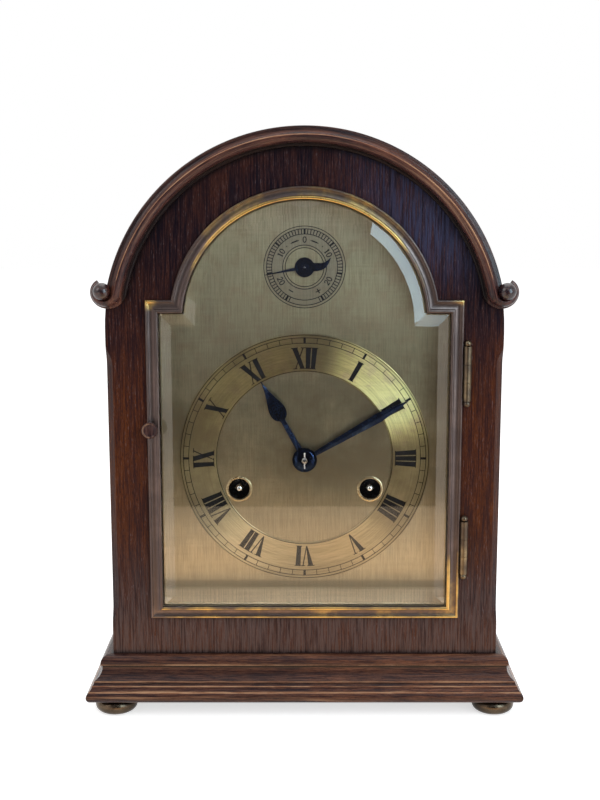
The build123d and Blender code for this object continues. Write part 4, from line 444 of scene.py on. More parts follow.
# Hood moulding: an oak moulding bent over the arch, with a roll inside a sharp ridge and a
# hollow outside it. Each end curls under a turned ball, and the ridge is rubbed bare.
HOOD_INNER, BALL_X, BALL_Z = 97.6, 107.8, 238.4
SCROLL_TURN, SCROLL_STEPS, HOOD_STEPS = 225, 60, 120
RIDGE, ROLL, FILLET, HOLLOW = 103.45, 101.4, 98.2, 106.6
section = [(0, -0.4), (0, 2.4), (0.25, 2.85), (0.7, 3.05), (1.5, 3.2), (1.75, 3.6), (1.85, 4.6), (2.0, 6.6)]
section += arc_points((2.0, 6.6), (3.1, 10.7), (5.4, 12.0), 14)
section += [(5.75, 11.95), (6.0, 11.7), (6.08, 11.2), (6.2, 10.2)]
section += arc_points((6.2, 10.2), (7.3, 8.75), (9.0, 8.1), 8)
section += [(9.8, 7.95), (10.25, 7.7), (10.4, 7.2), (10.4, -0.4)]
ball_reach = math.hypot(BALL_X, BALL_Z - ARCH_CENTRE)
ball_angle = math.atan2(BALL_Z - ARCH_CENTRE, BALL_X)
curl_reach = ball_reach - HOOD_INNER


def curl_row(turn, side):
    """The section swung round the ball, drawing in and sinking as it goes."""
    outer = 6.3 + (curl_reach - 6.3) * math.exp(-((turn / 110) ** 1.3))
    sink = 1 - 0.30 * min(1.0, turn / 180)
    direction = ball_angle + math.pi + math.radians(turn)
    c, s = math.cos(direction), math.sin(direction)
    row = []
    for across, height in section:
        reach = outer * (1 - across / curl_reach)
        lift = height * sink if height > 0 else height
        row.append((side * (BALL_X + reach * c), PANEL_FACE - lift, BALL_Z + reach * s))
    return row


rows = [curl_row(SCROLL_TURN * i / SCROLL_STEPS, -1) for i in range(SCROLL_STEPS, 0, -1)]
for i in range(HOOD_STEPS + 1):
    angle = math.pi - ball_angle - (math.pi - 2 * ball_angle) * i / HOOD_STEPS
    c, s = math.cos(angle), math.sin(angle)
    reaches = [(HOOD_INNER + across, PANEL_FACE - height) for across, height in section]
    rows.append([(reach * c, y, ARCH_CENTRE + reach * s) for reach, y in reaches])
rows += [curl_row(SCROLL_TURN * i / SCROLL_STEPS, 1) for i in range(1, SCROLL_STEPS + 1)]


def hood_wear(x, y, z):
    """The ridge is rubbed to a thin bare line; the inner fillet is dark, partly with old polish and partly as
    painted shade, and the outer hollow is darkened as painted shade.
    """
    radius, lift = math.hypot(x, z - ARCH_CENTRE), PANEL_FACE - y
    arch = 1 if z > 245 else 0.45
    ridge = math.exp(-(((radius - RIDGE) / 0.4) ** 2)) * (0.8 if lift > 11 else 0.0)
    roll = 0.30 * math.exp(-(((radius - ROLL) / 1.8) ** 2)) * (1.0 if lift > 8 else 0.0)
    # The inner fillet and the outer hollow are darkened: painted shade, with some old polish in the fillet.
    fillet = 0.95 * math.exp(-((max(radius - FILLET, 0) / 1.4) ** 2)) if lift < 7 else 0.0
    hollow = 0.42 * math.exp(-(((radius - HOLLOW) / 2.0) ** 2))
    return (ridge + roll) * arch - fillet - hollow + 0.05


HOOD_BROWN, HOOD_WARM = (0.068, 0.0255, 0.0215, 1), (0.190, 0.068, 0.034, 1)
hood_tones = {"brown": HOOD_BROWN, "warm": HOOD_WARM, "warmth": 0.10, "flecks": 0.15, "worn": True}
oak = stained_oak("hood_oak", GRAIN_X, laid="grain", shift=0.23, **hood_tones)
hood = make_piece("hood_moulding_bend", skin(rows, ring=True, ends=True), grain=wrap_place, worn=hood_wear)
fit(hood, oak, "case", "case_wood", "hood_moulding")

# Hood balls: two small turned oak balls glued into the curls of the hood moulding.
# Handling has polished them, so they are darker and shinier than the flat work.
BALL_RADIUS, BALL_FRONT = 4.8, -79.2
ball = [(0, -4.2), (2.4, -4.2)]
ball += arc_points((2.4, -4.2), (BALL_RADIUS, 0.1), (0, BALL_RADIUS), 24)
balls = [turned(ball, (side * BALL_X, BALL_FRONT + BALL_RADIUS, BALL_Z), steps=48) for side in (-1, 1)]
oak = stained_oak("hood_ball_oak", GRAIN_Y, flecks=0.1, shift=0.41)
settle(oak.node_tree.nodes["Principled BSDF"], {"Coat Weight": 0.6})
fit(make_piece("hood_balls", *balls), oak, "case", "case_wood", "moulding_bosses")

# Back frame and seat: plain inside woodwork, stained thinly, that closes the back of the case
# and carries the movement on two cleats.
inner_oak = stained_oak("inner_oak", GRAIN_Z, flecks=0.2, shift=0.53)
dress(inner_oak, "rear_frame")
dress(stained_oak("seat_oak", GRAIN_X, flecks=0.2, shift=0.71), "seat_board_and_cleats")

# Movement frame: two heavy brass plates held apart by turned pillars and nuts.
# The plates are brushed upright and lacquered, and the posts carry the dial.
PLATE_METAL, PLATE_DULL = (0.62, 0.44, 0.17, 1), (0.36, 0.24, 0.10, 1)
plate_brass = old_brass("plate_brass", PLATE_METAL, PLATE_DULL, 0.34, 0.24, brushed=GRAIN_Z)
dress(plate_brass, "back_plate")
# The front plate is near-black brass: painted shade, so that the winding holes read dark.
SHADE_DARK_METAL, SHADE_DARK_DULL = (0.12, 0.085, 0.04, 1), (0.035, 0.026, 0.016, 1)
dress(old_brass("front_plate_shade_dark_brass", SHADE_DARK_METAL, SHADE_DARK_DULL, 0.5, 0.4), "front_plate")
pillar_brass = old_brass("pillar_brass", PLATE_METAL, PLATE_DULL, 0.30, 0.20, brushed=GRAIN_Y)
dress(pillar_brass, "plate_pillars", "dial_posts", "pendulum_cock", "suspension_slide")


def worked_steel(name, metal, rough, brushed=None):
    """Filed and polished steel with fine marks and a little staining."""
    finish, tree, shader = new_finish(name)
    place = own_place(tree)
    pulled = squeezed(place, brushed or (1, 1, 1))
    marks = grains(pulled, 1800, 3, 0.6)
    clouds = grains(place, 130, 4, 0.6)
    darker = tuple(part * 0.55 for part in metal[:3]) + (1,)
    colour = blend(spread(clouds, 0.35, 0.75), metal, darker)
    matt = spread(sums("ADD", marks, clouds), 0.7, 1.3, rough, rough + 0.16, False)
    lay_on(shader, colour, matt, marks, 0.1, metal=1.0)
    return finish


bright_steel = worked_steel("bright_steel", (0.56, 0.56, 0.57, 1), 0.22)
dress(bright_steel, "pillar_nuts")

# Wheels and barrels: cut brass wheels on steel arbors, and the two drums that hold the
# mainsprings. The clicks and springs are steel, and so are the squares that the key fits on,
# whose small domed ends the key has polished.
WHEEL_METAL, WHEEL_DULL = (0.66, 0.46, 0.17, 1), (0.42, 0.27, 0.10, 1)
wheel_brass = old_brass("wheel_brass", WHEEL_METAL, WHEEL_DULL, 0.30, 0.22)
dress(wheel_brass, "going_barrel", "second_wheel", "third_wheel", "escape_wheel", "centre_arbor")
dress(wheel_brass, "minute_wheel", "hour_wheel")
dress(wheel_brass, "strike_barrel", "strike_second_wheel", "pin_wheel", "warning_wheel", "strike_fly")
spring_steel = worked_steel("spring_steel", (0.20, 0.21, 0.24, 1), 0.28)
dress(spring_steel, "going_mainspring", "strike_mainspring")
dress(bright_steel, "ratchet_clicks", "pallet_anchor")
winding_steel = worked_steel("winding_steel", (0.22, 0.22, 0.23, 1), 0.14)
polished_steel = worked_steel("polished_steel", (0.80, 0.80, 0.82, 1), 0.05)
dress(winding_steel, "going_winding_arbor", "strike_winding_arbor")
for train in ("going", "strike"):
    low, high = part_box(f"{train}_winding_arbor")
    tip = (500 * (low[0] + high[0]), 1000 * low[1], 500 * (low[2] + high[2]))
    end = [(0, -0.1), (1.75, -0.1)] + arc_points((1.75, -0.1), (1.3, 0.62), (0, 0.95), 10)
    cap = make_piece(f"{train}_winding_square_end", turned(end, tip, steps=32))
    fit(cap, polished_steel, f"{train}_winding", "steel")

# Pendulum: a steel rod on a suspension strip, with a lens bob of polished brass that a
# knurled nut underneath lifts and lowers.
dress(worked_steel("rod_steel", (0.50, 0.50, 0.51, 1), 0.25, GRAIN_Z), "pendulum_rod")
bob_brass = old_brass("bob_brass", (0.70, 0.50, 0.20, 1), (0.40, 0.26, 0.10, 1), 0.26, 0.16)
dress(bob_brass, "pendulum_bob", "rating_nut")

# Gong: a coil of blued spring steel, with one end held in an iron block inside the case.
# The hammer that strikes it is bright steel.
dress(worked_steel("gong_steel", (0.10, 0.115, 0.16, 1), 0.25), "gong_coil")
dress(worked_steel("gong_iron", (0.075, 0.072, 0.070, 1), 0.45), "gong_block")
dress(bright_steel, "strike_hammer")

# Dial plate: a sheet of brass with a break-arch top, brushed up and down, then lacquered.
# It is olive above and tan towards the bottom, partly the lacquer's tone and partly a painted reflection, and
# darker across the middle as painted shade.
DIAL_OLIVE, DIAL_TAN, DIAL_SHADE = (0.58, 0.52, 0.34, 1), (0.52, 0.415, 0.27, 1), (0.17, 0.140, 0.09, 1)
DIAL_LOW_SHADE = (0.33, 0.285, 0.20, 1)
DIAL_PAINTED_LIGHT, ETCHED, ETCHED_CENTRE = (0.74, 0.61, 0.44, 1), (0.37, 0.325, 0.275, 1), (0, 0, 0.2502)
DIAL_FACE, DIAL_X, DIAL_Z = -52.0, 0.0, 143.6


def dial_brass(name, olive, tan, shade, brushed=GRAIN_Z, laid=None):
    """Brushed and lacquered brass: olive above, tan below, the tan partly a painted reflection. Both are
    darker near the bottom as painted shade, paler at the top and along the bottom edge as painted light, with
    a painted shadow band just above that edge. The plate is also darkened round the middle as painted shade;
    the ring, whose marks are laid round it, is darkened as painted shade all but its upper right, a painted
    highlight, and its bottom, a painted reflection."""
    finish, tree, shader = new_finish(name)
    place = own_place(tree)
    along = mapped(tree, laid, "Vector") if laid else place
    pulled = squeezed(along, brushed)
    crossed = squeezed(place, GRAIN_X)
    marks = grains(pulled, 1500, 4, 0.7)
    cross = grains(crossed, 1100, 3, 0.6)
    clouds = grains(place, 24, 5, 0.6)
    blotches = grains(place, 75, 4, 0.65)
    spots = grains(place, 420, 2, 0.5)
    height = parts_of(place)[2]
    stained = spread(blotches, 0.46, 0.66, 0, 0.8)
    # Tan below: stain blotches and, by height, a painted reflection.
    stain_and_low_reflection = sums("MAXIMUM", spread(height, 0.165, 0.095), stained)
    colour = blend(stain_and_low_reflection, olive, tan)
    # Darker near the bottom as painted shade; paler at the bottom edge and at the top as painted light.
    colour = blend(spread(height, 0.088, 0.074, 0, 0.45), colour, DIAL_LOW_SHADE)
    colour = blend(spread(height, 0.0690, 0.0660), colour, DIAL_PAINTED_LIGHT)
    colour = blend(spread(height, 0.255, 0.292, 0, 0.6), colour, DIAL_PAINTED_LIGHT)
    if laid:
        round_parts = parts_of(along)
        # Ring: lighter at the upper right as a painted highlight and at the bottom as a painted reflection,
        # darker elsewhere as painted shade.
        slant = sums("ADD", times(round_parts[1], 0.74), times(round_parts[2], 0.67))
        low_reflection = spread(round_parts[2], -0.024, -0.054)
        rubbed = sums("MAXIMUM", spread(slant, 0.046, 0.0585), low_reflection)
        painted_shade = times(spread(rubbed, 1, 0), spread(clouds, 0.25, 0.65, 0.55, 0.95))
    else:
        # Plate: darker round the middle as painted shade.
        middle = times(spread(height, 0.085, 0.140), spread(height, 0.270, 0.165))
        painted_shade = times(middle, spread(clouds, 0.25, 0.65, 0.48, 0.98))
        spot = step(tree, "VectorMath", {0: place, 1: ETCHED_CENTRE}, operation="SUBTRACT").outputs[0]
        flat = squeezed(spot, (1, 0, 1))
        reach = step(tree, "VectorMath", {0: flat}, operation="LENGTH").outputs["Value"]
        band = times(spread(reach, 0.0104, 0.0122), spread(reach, 0.0224, 0.0206))
        colour = blend(times(band, 0.5), colour, ETCHED)
    colour = blend(painted_shade, colour, shade)
    hairs = sums("ADD", marks, times(cross, 0.25))
    colour = blend(spread(hairs, 0.48, 0.80, 0, 0.42), colour, shade)
    # A painted shadow band just above the bottom edge.
    edge_shadow_band = times(spread(height, 0.0735, 0.0715), spread(height, 0.0680, 0.0690))
    colour = blend(times(edge_shadow_band, 0.55), colour, shade)
    colour = blend(spread(spots, 0.74, 0.80, 0, 0.6), colour, shade)
    matt = spread(sums("ADD", marks, clouds), 0.7, 1.3, 0.32, 0.46, False)
    lay_on(shader, colour, matt, sums("ADD", marks, cross), 0.04, metal=1.0)
    return finish


dress(dial_brass("dial_plate_brass", DIAL_OLIVE, DIAL_TAN, DIAL_SHADE), "dial_plate")

# Chapter ring: a flat brass ring spun on a lathe, so its brush marks run round it, with its
# edges broken. It is riveted to the plate and a little brighter than it.
RING_FACE, RING_OUTER, RING_INNER, RING_BREAK = -53.0, 70.0, 49.0, 0.18


def round_place(x, y, z):
    """Distance from the dial's centre, then a short run round it, for marks that go round."""
    radius, angle = math.hypot(x - DIAL_X, z - DIAL_Z), math.atan2(z - DIAL_Z, x - DIAL_X)
    return radius, 60 * math.cos(angle), 60 * math.sin(angle)


edge = [(RING_INNER, 0), (RING_INNER, 1 - RING_BREAK), (RING_INNER + RING_BREAK, 1)]
edge += [(RING_OUTER - RING_BREAK, 1), (RING_OUTER, 1 - RING_BREAK), (RING_OUTER, 0), (RING_INNER, 0)]
RING_OLIVE, RING_TAN, RING_SHADE = (0.74, 0.66, 0.30, 1), (0.60, 0.47, 0.28, 1), (0.155, 0.120, 0.068, 1)
ROUND = (1, 0.03, 0.03)
ring_finish = dial_brass("chapter_ring_brass", RING_OLIVE, RING_TAN, RING_SHADE, ROUND, "grain")
tree, shader = ring_finish.node_tree, ring_finish.node_tree.nodes["Principled BSDF"]
settle(shader, {"Anisotropic": 0.97, "Anisotropic Rotation": 0.25})
tree.links.new(step(tree, "Tangent", direction_type="RADIAL", axis="Y").outputs[0], shader.inputs["Tangent"])
spun = turned(edge, (DIAL_X, DIAL_FACE, DIAL_Z), steps=180)
ring_plate = make_piece("chapter_ring_plate", spun, grain=round_place)
fit(ring_plate, ring_finish, "case", "ring_brass", "chapter_ring")

# Chapter markings: Roman numerals and the minute track, engraved in the ring and filled flush
# with black wax. The strokes point at the dial's centre.
WAX, WAX_WORN = (0.006, 0.006, 0.007, 1), (0.014, 0.013, 0.015, 1)
NUMERAL_FOOT, NUMERAL_RISE, THICK, THIN, GAP, SERIF, SERIF_OUT = 50.7, 11.9, 2.6, 0.6, 0.55, 0.42, 0.5
TRACK_IN, TRACK_OUT, LINE, RUNG, BLOCK = 64.9, 67.9, 0.36, 0.34, 1.3
RIM_LINES = (69.45, 49.4)
FILL = 0.035


def strokes_of(numeral):
    """Straight strokes and serifs of a numeral as four-cornered shapes, with the numeral's whole width."""
    shapes, x = [], 0.0
    tall = NUMERAL_RISE
    for letter in numeral:
        if letter == "I":
            shapes.append([(x, 0), (x + THICK, 0), (x + THICK, tall), (x, tall)])
            feet, wide = [(x, x + THICK, 0), (x, x + THICK, tall)], THICK
        elif letter == "V":
            wide = 6.3
            tip = x + wide * 0.54
            right = x + wide - 0.4
            point = tip + THIN * 0.6
            shapes.append([(tip - THIN * 0.6, 0), (point, 0), (x + THICK + 0.2, tall), (x + 0.2, tall)])
            shapes.append([(tip - THIN * 0.4, 0), (point, 0), (right, tall), (right - THIN, tall)])
            feet = [(x + 0.1, x + THICK + 0.3, tall), (x + wide - 1.4, x + wide - 0.1, tall)]
        else:
            wide = 6.5
            shapes.append([(x + wide - THICK, 0), (x + wide, 0), (x + THICK, tall), (x, tall)])
            left, right, far = x + 0.5, x + wide - 0.5, x + wide
            shapes.append([(left, 0), (left + THIN, 0), (right, tall), (right - THIN, tall)])
            feet = [(x, x + 1.5, 0), (far - THICK, far, 0), (x, x + THICK, tall), (far - 1.5, far, tall)]
        for low, high, level in feet:
            base = level - (SERIF if level else 0)
            left, right = low - SERIF_OUT, high + SERIF_OUT
            shapes.append([(left, base), (right, base), (right, base + SERIF), (left, base + SERIF)])
        x += wide + GAP
    return shapes, x - GAP


def waxed(shape, face, place):
    """A flat shape filled with wax: a thin block that stands just proud of the face it is cut in."""
    spots = [place(*point) for point in shape]
    rows = [[(x, face, z) for x, z in spots], [(x, face - FILL, z) for x, z in spots]]
    return skin(rows, ring=True, ends=True)


def bar(wide, low, high):
    """An upright bar as four corners."""
    return [(-wide / 2, low), (wide / 2, low), (wide / 2, high), (-wide / 2, high)]


def on_ring(centre, turn, foot, middle):
    """Sets a point of a figure on a circle, its foot towards the centre, turned clockwise from twelve."""
    def place(x, y):
        angle = math.radians(turn) + x / middle
        return centre[0] + (foot + y) * math.sin(angle), centre[1] + (foot + y) * math.cos(angle)
    return place


def hoop(centre, inner, outer, face, begin=0.0, end=360.0, steps=180):
    """A thin waxed line round a centre."""
    whole = end - begin >= 360
    rows = []
    for i in range(steps if whole else steps + 1):
        angle = math.radians(begin + (end - begin) * i / steps)
        s, c = math.sin(angle), math.cos(angle)
        ends = [(inner, 0), (outer, 0), (outer, FILL), (inner, FILL)]
        rows.append([(centre[0] + r * s, face - h, centre[1] + r * c) for r, h in ends])
    return skin(rows, ring=True, loop=whole, ends=not whole)


def black_wax(name):
    finish, tree, shader = new_finish(name)
    place = own_place(tree)
    chips = grains(place, 900, 4, 0.6)
    colour = blend(spread(chips, 0.45, 0.72), WAX, WAX_WORN)
    lay_on(shader, colour, spread(chips, 0.3, 0.7, 0.28, 0.5, False))
    settle(shader, {"Specular IOR Level": 0.06})
    return finish


wax = black_wax("black_wax")
dial_centre = (DIAL_X, DIAL_Z)
numerals = ["XII", "I", "II", "III", "IIII", "V", "VI", "VII", "VIII", "IX", "X", "XI"]
figures = []
for hour, numeral in enumerate(numerals):
    shapes, wide = strokes_of(numeral)
    place = on_ring(dial_centre, hour * 30, NUMERAL_FOOT, NUMERAL_FOOT + NUMERAL_RISE / 2)
    for shape in shapes:
        figures.append(waxed([(x - wide / 2, y) for x, y in shape], RING_FACE, place))
for minute in range(60):
    wide = BLOCK if minute % 5 == 0 else RUNG
    place = on_ring(dial_centre, minute * 6, TRACK_IN, TRACK_IN)
    reach = 0.25 if minute % 5 == 0 else -0.05
    figures.append(waxed(bar(wide, -reach, TRACK_OUT - TRACK_IN + reach), RING_FACE, place))
for radius in (TRACK_IN, TRACK_OUT, *RIM_LINES):
    figures.append(hoop(dial_centre, radius - LINE / 2, radius + LINE / 2, RING_FACE))
fit(make_piece("chapter_markings", *figures), wax, "case", "ring_brass")

# Winding ferrules: two turned brass collars pressed into the dial round the winding holes,
# with a rounded lip that stays bright from the key.
WINDING_PLACES = [(side * 36.8, 125.9) for side in (-1, 1)]
lip = [(5.9, -1.4), (5.9, 0.35), (6.05, 0.6), (6.35, 0.7), (6.8, 0.66), (7.2, 0.45), (7.4, 0.1)]
lip += [(7.4, 0), (5.9, -1.4)]
collars = [turned(lip, (x, DIAL_FACE, z), steps=72) for x, z in WINDING_PLACES]
brass = old_brass("ferrule_brass", (0.46, 0.37, 0.23, 1), (0.22, 0.17, 0.10, 1), 0.40, 0.26)
fit(make_piece("winding_collars", *collars), brass, "case", "ferrule_brass", "winding_ferrules")

# Regulator dial: a small scale engraved straight in the plate, with a ladder of marks, plain
# figures, and a minus and a plus sign at the bottom.
REGULATOR = (0.0, 250.2)
BAND_OUT, SIGN_TURN = 18.0, 150.0
FIGURE_FOOT, FIGURE_MIDDLE, FIGURE_RISE, FIGURE_STEP = 13.4, 15.0, 3.1, 2.25
SCALE_LINE, MARK_RISE, SCALE_RADII = 0.42, 2.8, (22.3, 20.8, 18.0, 12.0, 10.6)
half_line = SCALE_LINE / 2
figures = [hoop(REGULATOR, r - half_line, r + half_line, DIAL_FACE, steps=120) for r in SCALE_RADII]
for mark in range(-31, 32):
    wide = 1.0 if mark % 10 == 0 else 0.44
    place = on_ring(REGULATOR, mark * 5, BAND_OUT, BAND_OUT)
    figures.append(waxed(bar(wide, 0, MARK_RISE), DIAL_FACE, place))


def ribbon(points, wide):
    """Short pieces of a drawn line, one for each run between two points."""
    pieces = []
    for (ax, ay), (bx, by) in zip(points, points[1:]):
        length = math.dist((ax, ay), (bx, by))
        nx, ny = (ay - by) / length * wide / 2, (bx - ax) / length * wide / 2
        pieces.append([(ax + nx, ay + ny), (ax - nx, ay - ny), (bx - nx, by - ny), (bx + nx, by + ny)])
    return pieces


nought = [(0.85 * math.sin(math.tau * i / 16), 1.55 + 1.55 * math.cos(math.tau * i / 16)) for i in range(17)]
one_foot, one_flag = ribbon([(-0.7, 0.14), (0.7, 0.14)], 0.3), ribbon([(0, 3.0), (-0.65, 2.5)], 0.34)
two = [(-0.8, 2.3), (-0.6, 2.85), (0, 3.1), (0.6, 2.85), (0.75, 2.3), (0.45, 1.6), (-0.8, 0.2)]
digits = {
    "0": ribbon(nought, 0.56),
    "1": ribbon([(0, 0), (0, 3.1)], 0.68) + one_foot + one_flag,
    "2": ribbon(two, 0.54) + ribbon([(-0.9, 0.2), (0.9, 0.2)], 0.5),
    "+": ribbon([(-1.4, 1.5), (1.4, 1.5)], 0.56) + ribbon([(0, 0.1), (0, 2.9)], 0.56),
    "-": ribbon([(-1.4, 1.5), (1.4, 1.5)], 0.56),
    "dot": ribbon([(-0.3, 1.5), (0.3, 1.5)], 0.6),
    "dash": ribbon([(-2.4, 1.5), (2.4, 1.5)], 0.4) + ribbon([(-1.6, 1.5), (1.6, 1.5)], 0.75),
}
scale_words = [(0, "0"), (-59, "10"), (59, "10"), (-120, "20"), (120, "20")]
scale_words += [(SIGN_TURN, "+"), (-SIGN_TURN, "-")]
for turn, word in scale_words:
    for i, digit in enumerate(word):
        place = on_ring(REGULATOR, turn, FIGURE_FOOT, FIGURE_MIDDLE)
        offset = (i - (len(word) - 1) / 2) * FIGURE_STEP
        up = -1 if abs(turn) > 90 else 1
        for shape in digits[digit]:
            spots = [(up * (x + offset), y if up > 0 else FIGURE_RISE - y) for x, y in shape]
            figures.append(waxed(spots, DIAL_FACE, place))
for turn, sign in ((-41, "dot"), (41, "dot"), (-21.5, "dash"), (21.5, "dash")):
    place = on_ring(REGULATOR, turn, FIGURE_FOOT, FIGURE_MIDDLE)
    figures += [waxed(shape, DIAL_FACE, place) for shape in digits[sign]]
fit(make_piece("regulator_scale", *figures), wax, "case", "dial_brass")

# Hands: filed from sheet steel and blued over a flame. The minute hand is bevelled both ways
# from a middle ridge, the hour hand is a leaf on a stem, and a domed washer and pin hold both.
BLUE, BLUE_PALE = (0.007, 0.012, 0.031, 1), (0.019, 0.034, 0.074, 1)
HOUR_TURN, MINUTE_TURN = -29, 60
HOUR_BACK, MINUTE_BACK, WASHER_BACK, PIN_MIDDLE = -54.2, -56.3, -57.2, -59.2


def blued_steel(name, rough=0.20):
    finish, tree, shader = new_finish(name)
    place = own_place(tree)
    clouds = grains(place, 160, 4, 0.6)
    marks = grains(place, 1700, 2, 0.6)
    colour = blend(spread(clouds, 0.4, 0.72), BLUE, BLUE_PALE)
    lay_on(shader, colour, spread(marks, 0.3, 0.7, rough, rough * 1.7, False), marks, 0.06, metal=1.0)
    return finish


blued = blued_steel("blued_steel")


def blade(stations, back, ridge, shoulder, centre, turn):
    """A hand as rows across it: stations hold a distance out and a half width."""
    s, c = math.sin(math.radians(turn)), math.cos(math.radians(turn))
    rows = []
    for out, wide in stations:
        across = [(-wide, back), (-wide, back - shoulder), (0, back - ridge)]
        across += [(wide, back - shoulder), (wide, back)]
        rows.append([(centre[0] + x * c + out * s, y, centre[1] - x * s + out * c) for x, y in across])
    return skin(rows, ring=True, ends=True)


leaf = [(0, 1.6), (6, 1.6), (15, 1.45), (24, 1.3), (25.2, 1.5), (25.9, 2.6), (26.9, 3.6)]
leaf += [(28.4, 4.3), (30.2, 4.65), (32, 4.6)]
leaf += [(34, 4.2), (36.5, 3.4), (39, 2.5), (42, 1.55), (45, 0.85), (48, 0.4), (50, 0.2)]
boss = [(3.7, 0), (6.2, 0), (6.2, 0.65), (5.95, 0.9), (3.7, 0.9), (3.7, 0)]
boss = turned(boss, (DIAL_X, HOUR_BACK, DIAL_Z), steps=48)
leaf = blade(leaf, HOUR_BACK, 0.9, 0.55, dial_centre, HOUR_TURN)
hour = make_piece("hour_hand_leaf", leaf, boss, crease=12)
fit(hour, blued, "hour_group", "blued_steel", "hour_hand")
sword = [(0, 1.3), (6.6, 1.35), (48, 2.7), (66, 0.3)]
boss = [(2.6, 0), (6.6, 0), (6.6, 0.65), (6.35, 0.9), (2.6, 0.9), (2.6, 0)]
boss = turned(boss, (DIAL_X, MINUTE_BACK, DIAL_Z), steps=48)
sword = blade(sword, MINUTE_BACK, 0.9, 0.25, dial_centre, MINUTE_TURN)
minute = make_piece("minute_hand_sword", sword, boss, crease=12)
fit(minute, blued, "minute_group", "blued_steel", "minute_hand")
dome = [(1.6, 0), (6.9, 0), (6.9, 0.35), (6.7, 0.62), (6.1, 0.72), (5.6, 0.7), (5.5, 0.78)]
dome += arc_points((5.5, 0.78), (3.6, 1.28), (1.6, 1.4), 8) + [(1.6, 0)]
taper = [(0, -4.5), (0.36, -4.5), (0.55, 4.3), (0.42, 4.5), (0, 4.5)]
washer = make_piece("hand_washer_dome", turned(dome, (DIAL_X, WASHER_BACK, DIAL_Z), steps=64))
fit(washer, blued_steel("washer_blue", 0.07), "minute_group", "blued_steel", "hand_washer_and_pin")
tip = [(0, -0.4), (1.55, -0.4), (1.55, 0.15), (1.2, 0.5), (0, 0.62)]
arbor_front = 1000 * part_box("centre_arbor")[0][1]
pin = turned(taper, (DIAL_X, PIN_MIDDLE, DIAL_Z), "z", 16)
pin = make_piece("hand_pin", pin, turned(tip, (DIAL_X, arbor_front, DIAL_Z), steps=32))
fit(pin, polished_steel, "minute_group", "steel")

# Regulator hand: a fine blued pointer with a curled tail, filed from sheet steel like the others.
# Its ringed boss is pushed on the arbor, whose bright end shows in the middle.
POINTER_BACK, TAIL_SHOULDER, TAIL_RIDGE = -53.2, -53.75, -54.1
pointer = [(0, 0.95), (5, 0.85), (12, 0.5), (19, 0.28), (22, 0.16)]
turn = -101.0
spine = [(0, 0), (3.5, 0.4), (6.5, 1.1), (9, 1.35), (11.5, 0.8), (13.4, -0.6), (15, -2.4)]
half_widths = [2.6, 2.5, 2.2, 1.9, 1.45, 0.85, 0.15]
s, c = math.sin(math.radians(turn + 180)), math.cos(math.radians(turn + 180))
rows = []
for (out, bend), wide in zip(spine, half_widths):
    across = [(-wide, POINTER_BACK), (-wide, TAIL_SHOULDER), (0, TAIL_RIDGE)]
    across += [(wide, TAIL_SHOULDER), (wide, POINTER_BACK)]
    spots = [(x + bend, y) for x, y in across]
    rows.append([(REGULATOR[0] + x * c + out * s, y, REGULATOR[1] - x * s + out * c) for x, y in spots])
tail = skin(rows, ring=True, ends=True)
boss = [(1.55, 0), (5.4, 0), (5.4, 0.6), (5.1, 0.9), (4.0, 0.85), (3.7, 1.15), (3.3, 1.2), (3.0, 0.9)]
boss += [(2.4, 0.9), (2.1, 1.15), (1.55, 1.25), (1.55, 0)]
boss = turned(boss, (REGULATOR[0], POINTER_BACK, REGULATOR[1]), steps=48)
pointer = blade(pointer, POINTER_BACK, 0.8, 0.5, REGULATOR, turn)
hand = make_piece("regulator_pointer", pointer, tail, boss, crease=20)
fit(hand, blued, "regulator", "blued_steel", "regulator_hand")
dress(blued, "regulator_arbor")
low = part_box("regulator_arbor")[0]
tip = [(0, -0.1), (0.75, -0.1), (0.6, 0.2), (0, 0.32)]
tip = make_piece("regulator_arbor_end", turned(tip, (REGULATOR[0], 1000 * low[1], REGULATOR[1]), steps=24))
fit(tip, polished_steel, "regulator", "steel")

# Door bezel: drawn brass moulding, bent to the break arch and mitred at its corners, with a
# thin rim, a hollow and a bead next to the glass. The bottom rail is rubbed to bare gold.
DOOR_HALF, DOOR_LOW, DOOR_SHOULDER, DOOR_ARCH, DOOR_ARCH_Z = 86.0, 55.0, 233.4, 73.0, 221.0
BEZEL_METAL, BEZEL_TARNISH = (0.150, 0.112, 0.100, 1), (0.085, 0.064, 0.060, 1)
BEZEL_BARE = (0.58, 0.385, 0.13, 1)


def break_arch(inset, y, steps=72, cuts=()):
    """The door's outline, drawn in by inset, with the same points whatever the inset. cuts are the
    shares of each straight run where it gets more points."""
    half, low = DOOR_HALF - inset, DOOR_LOW + inset
    shoulder, radius = DOOR_SHOULDER - inset, DOOR_ARCH - inset
    start = math.asin((shoulder - DOOR_ARCH_Z) / radius)
    corners = [(-half, shoulder), (-half, low), (half, low), (half, shoulder)]
    outline = [corners[0]]
    for (ax, az), (bx, bz) in zip(corners, corners[1:]):
        outline += [(ax + (bx - ax) * share, az + (bz - az) * share) for share in (*cuts, 1)]
    for i in range(steps + 1):
        angle = start + (math.pi - 2 * start) * i / steps
        outline.append((radius * math.cos(angle), DOOR_ARCH_Z + radius * math.sin(angle)))
    return [(x, y, z) for x, z in outline]


rail = [(0, -66.0), (0, -67.7)] + arc_points((0, -67.7), (0.75, -68.42), (1.5, -67.85), 8)
rail += arc_points((1.5, -67.85), (3.2, -67.45), (4.9, -67.9), 8) + [(4.95, -68.5)]
rail += arc_points((4.95, -68.5), (5.95, -69.8), (7.0, -68.5), 14)
rail += [(7.0, -67.25), (5.75, -67.25), (5.75, -66.0)]


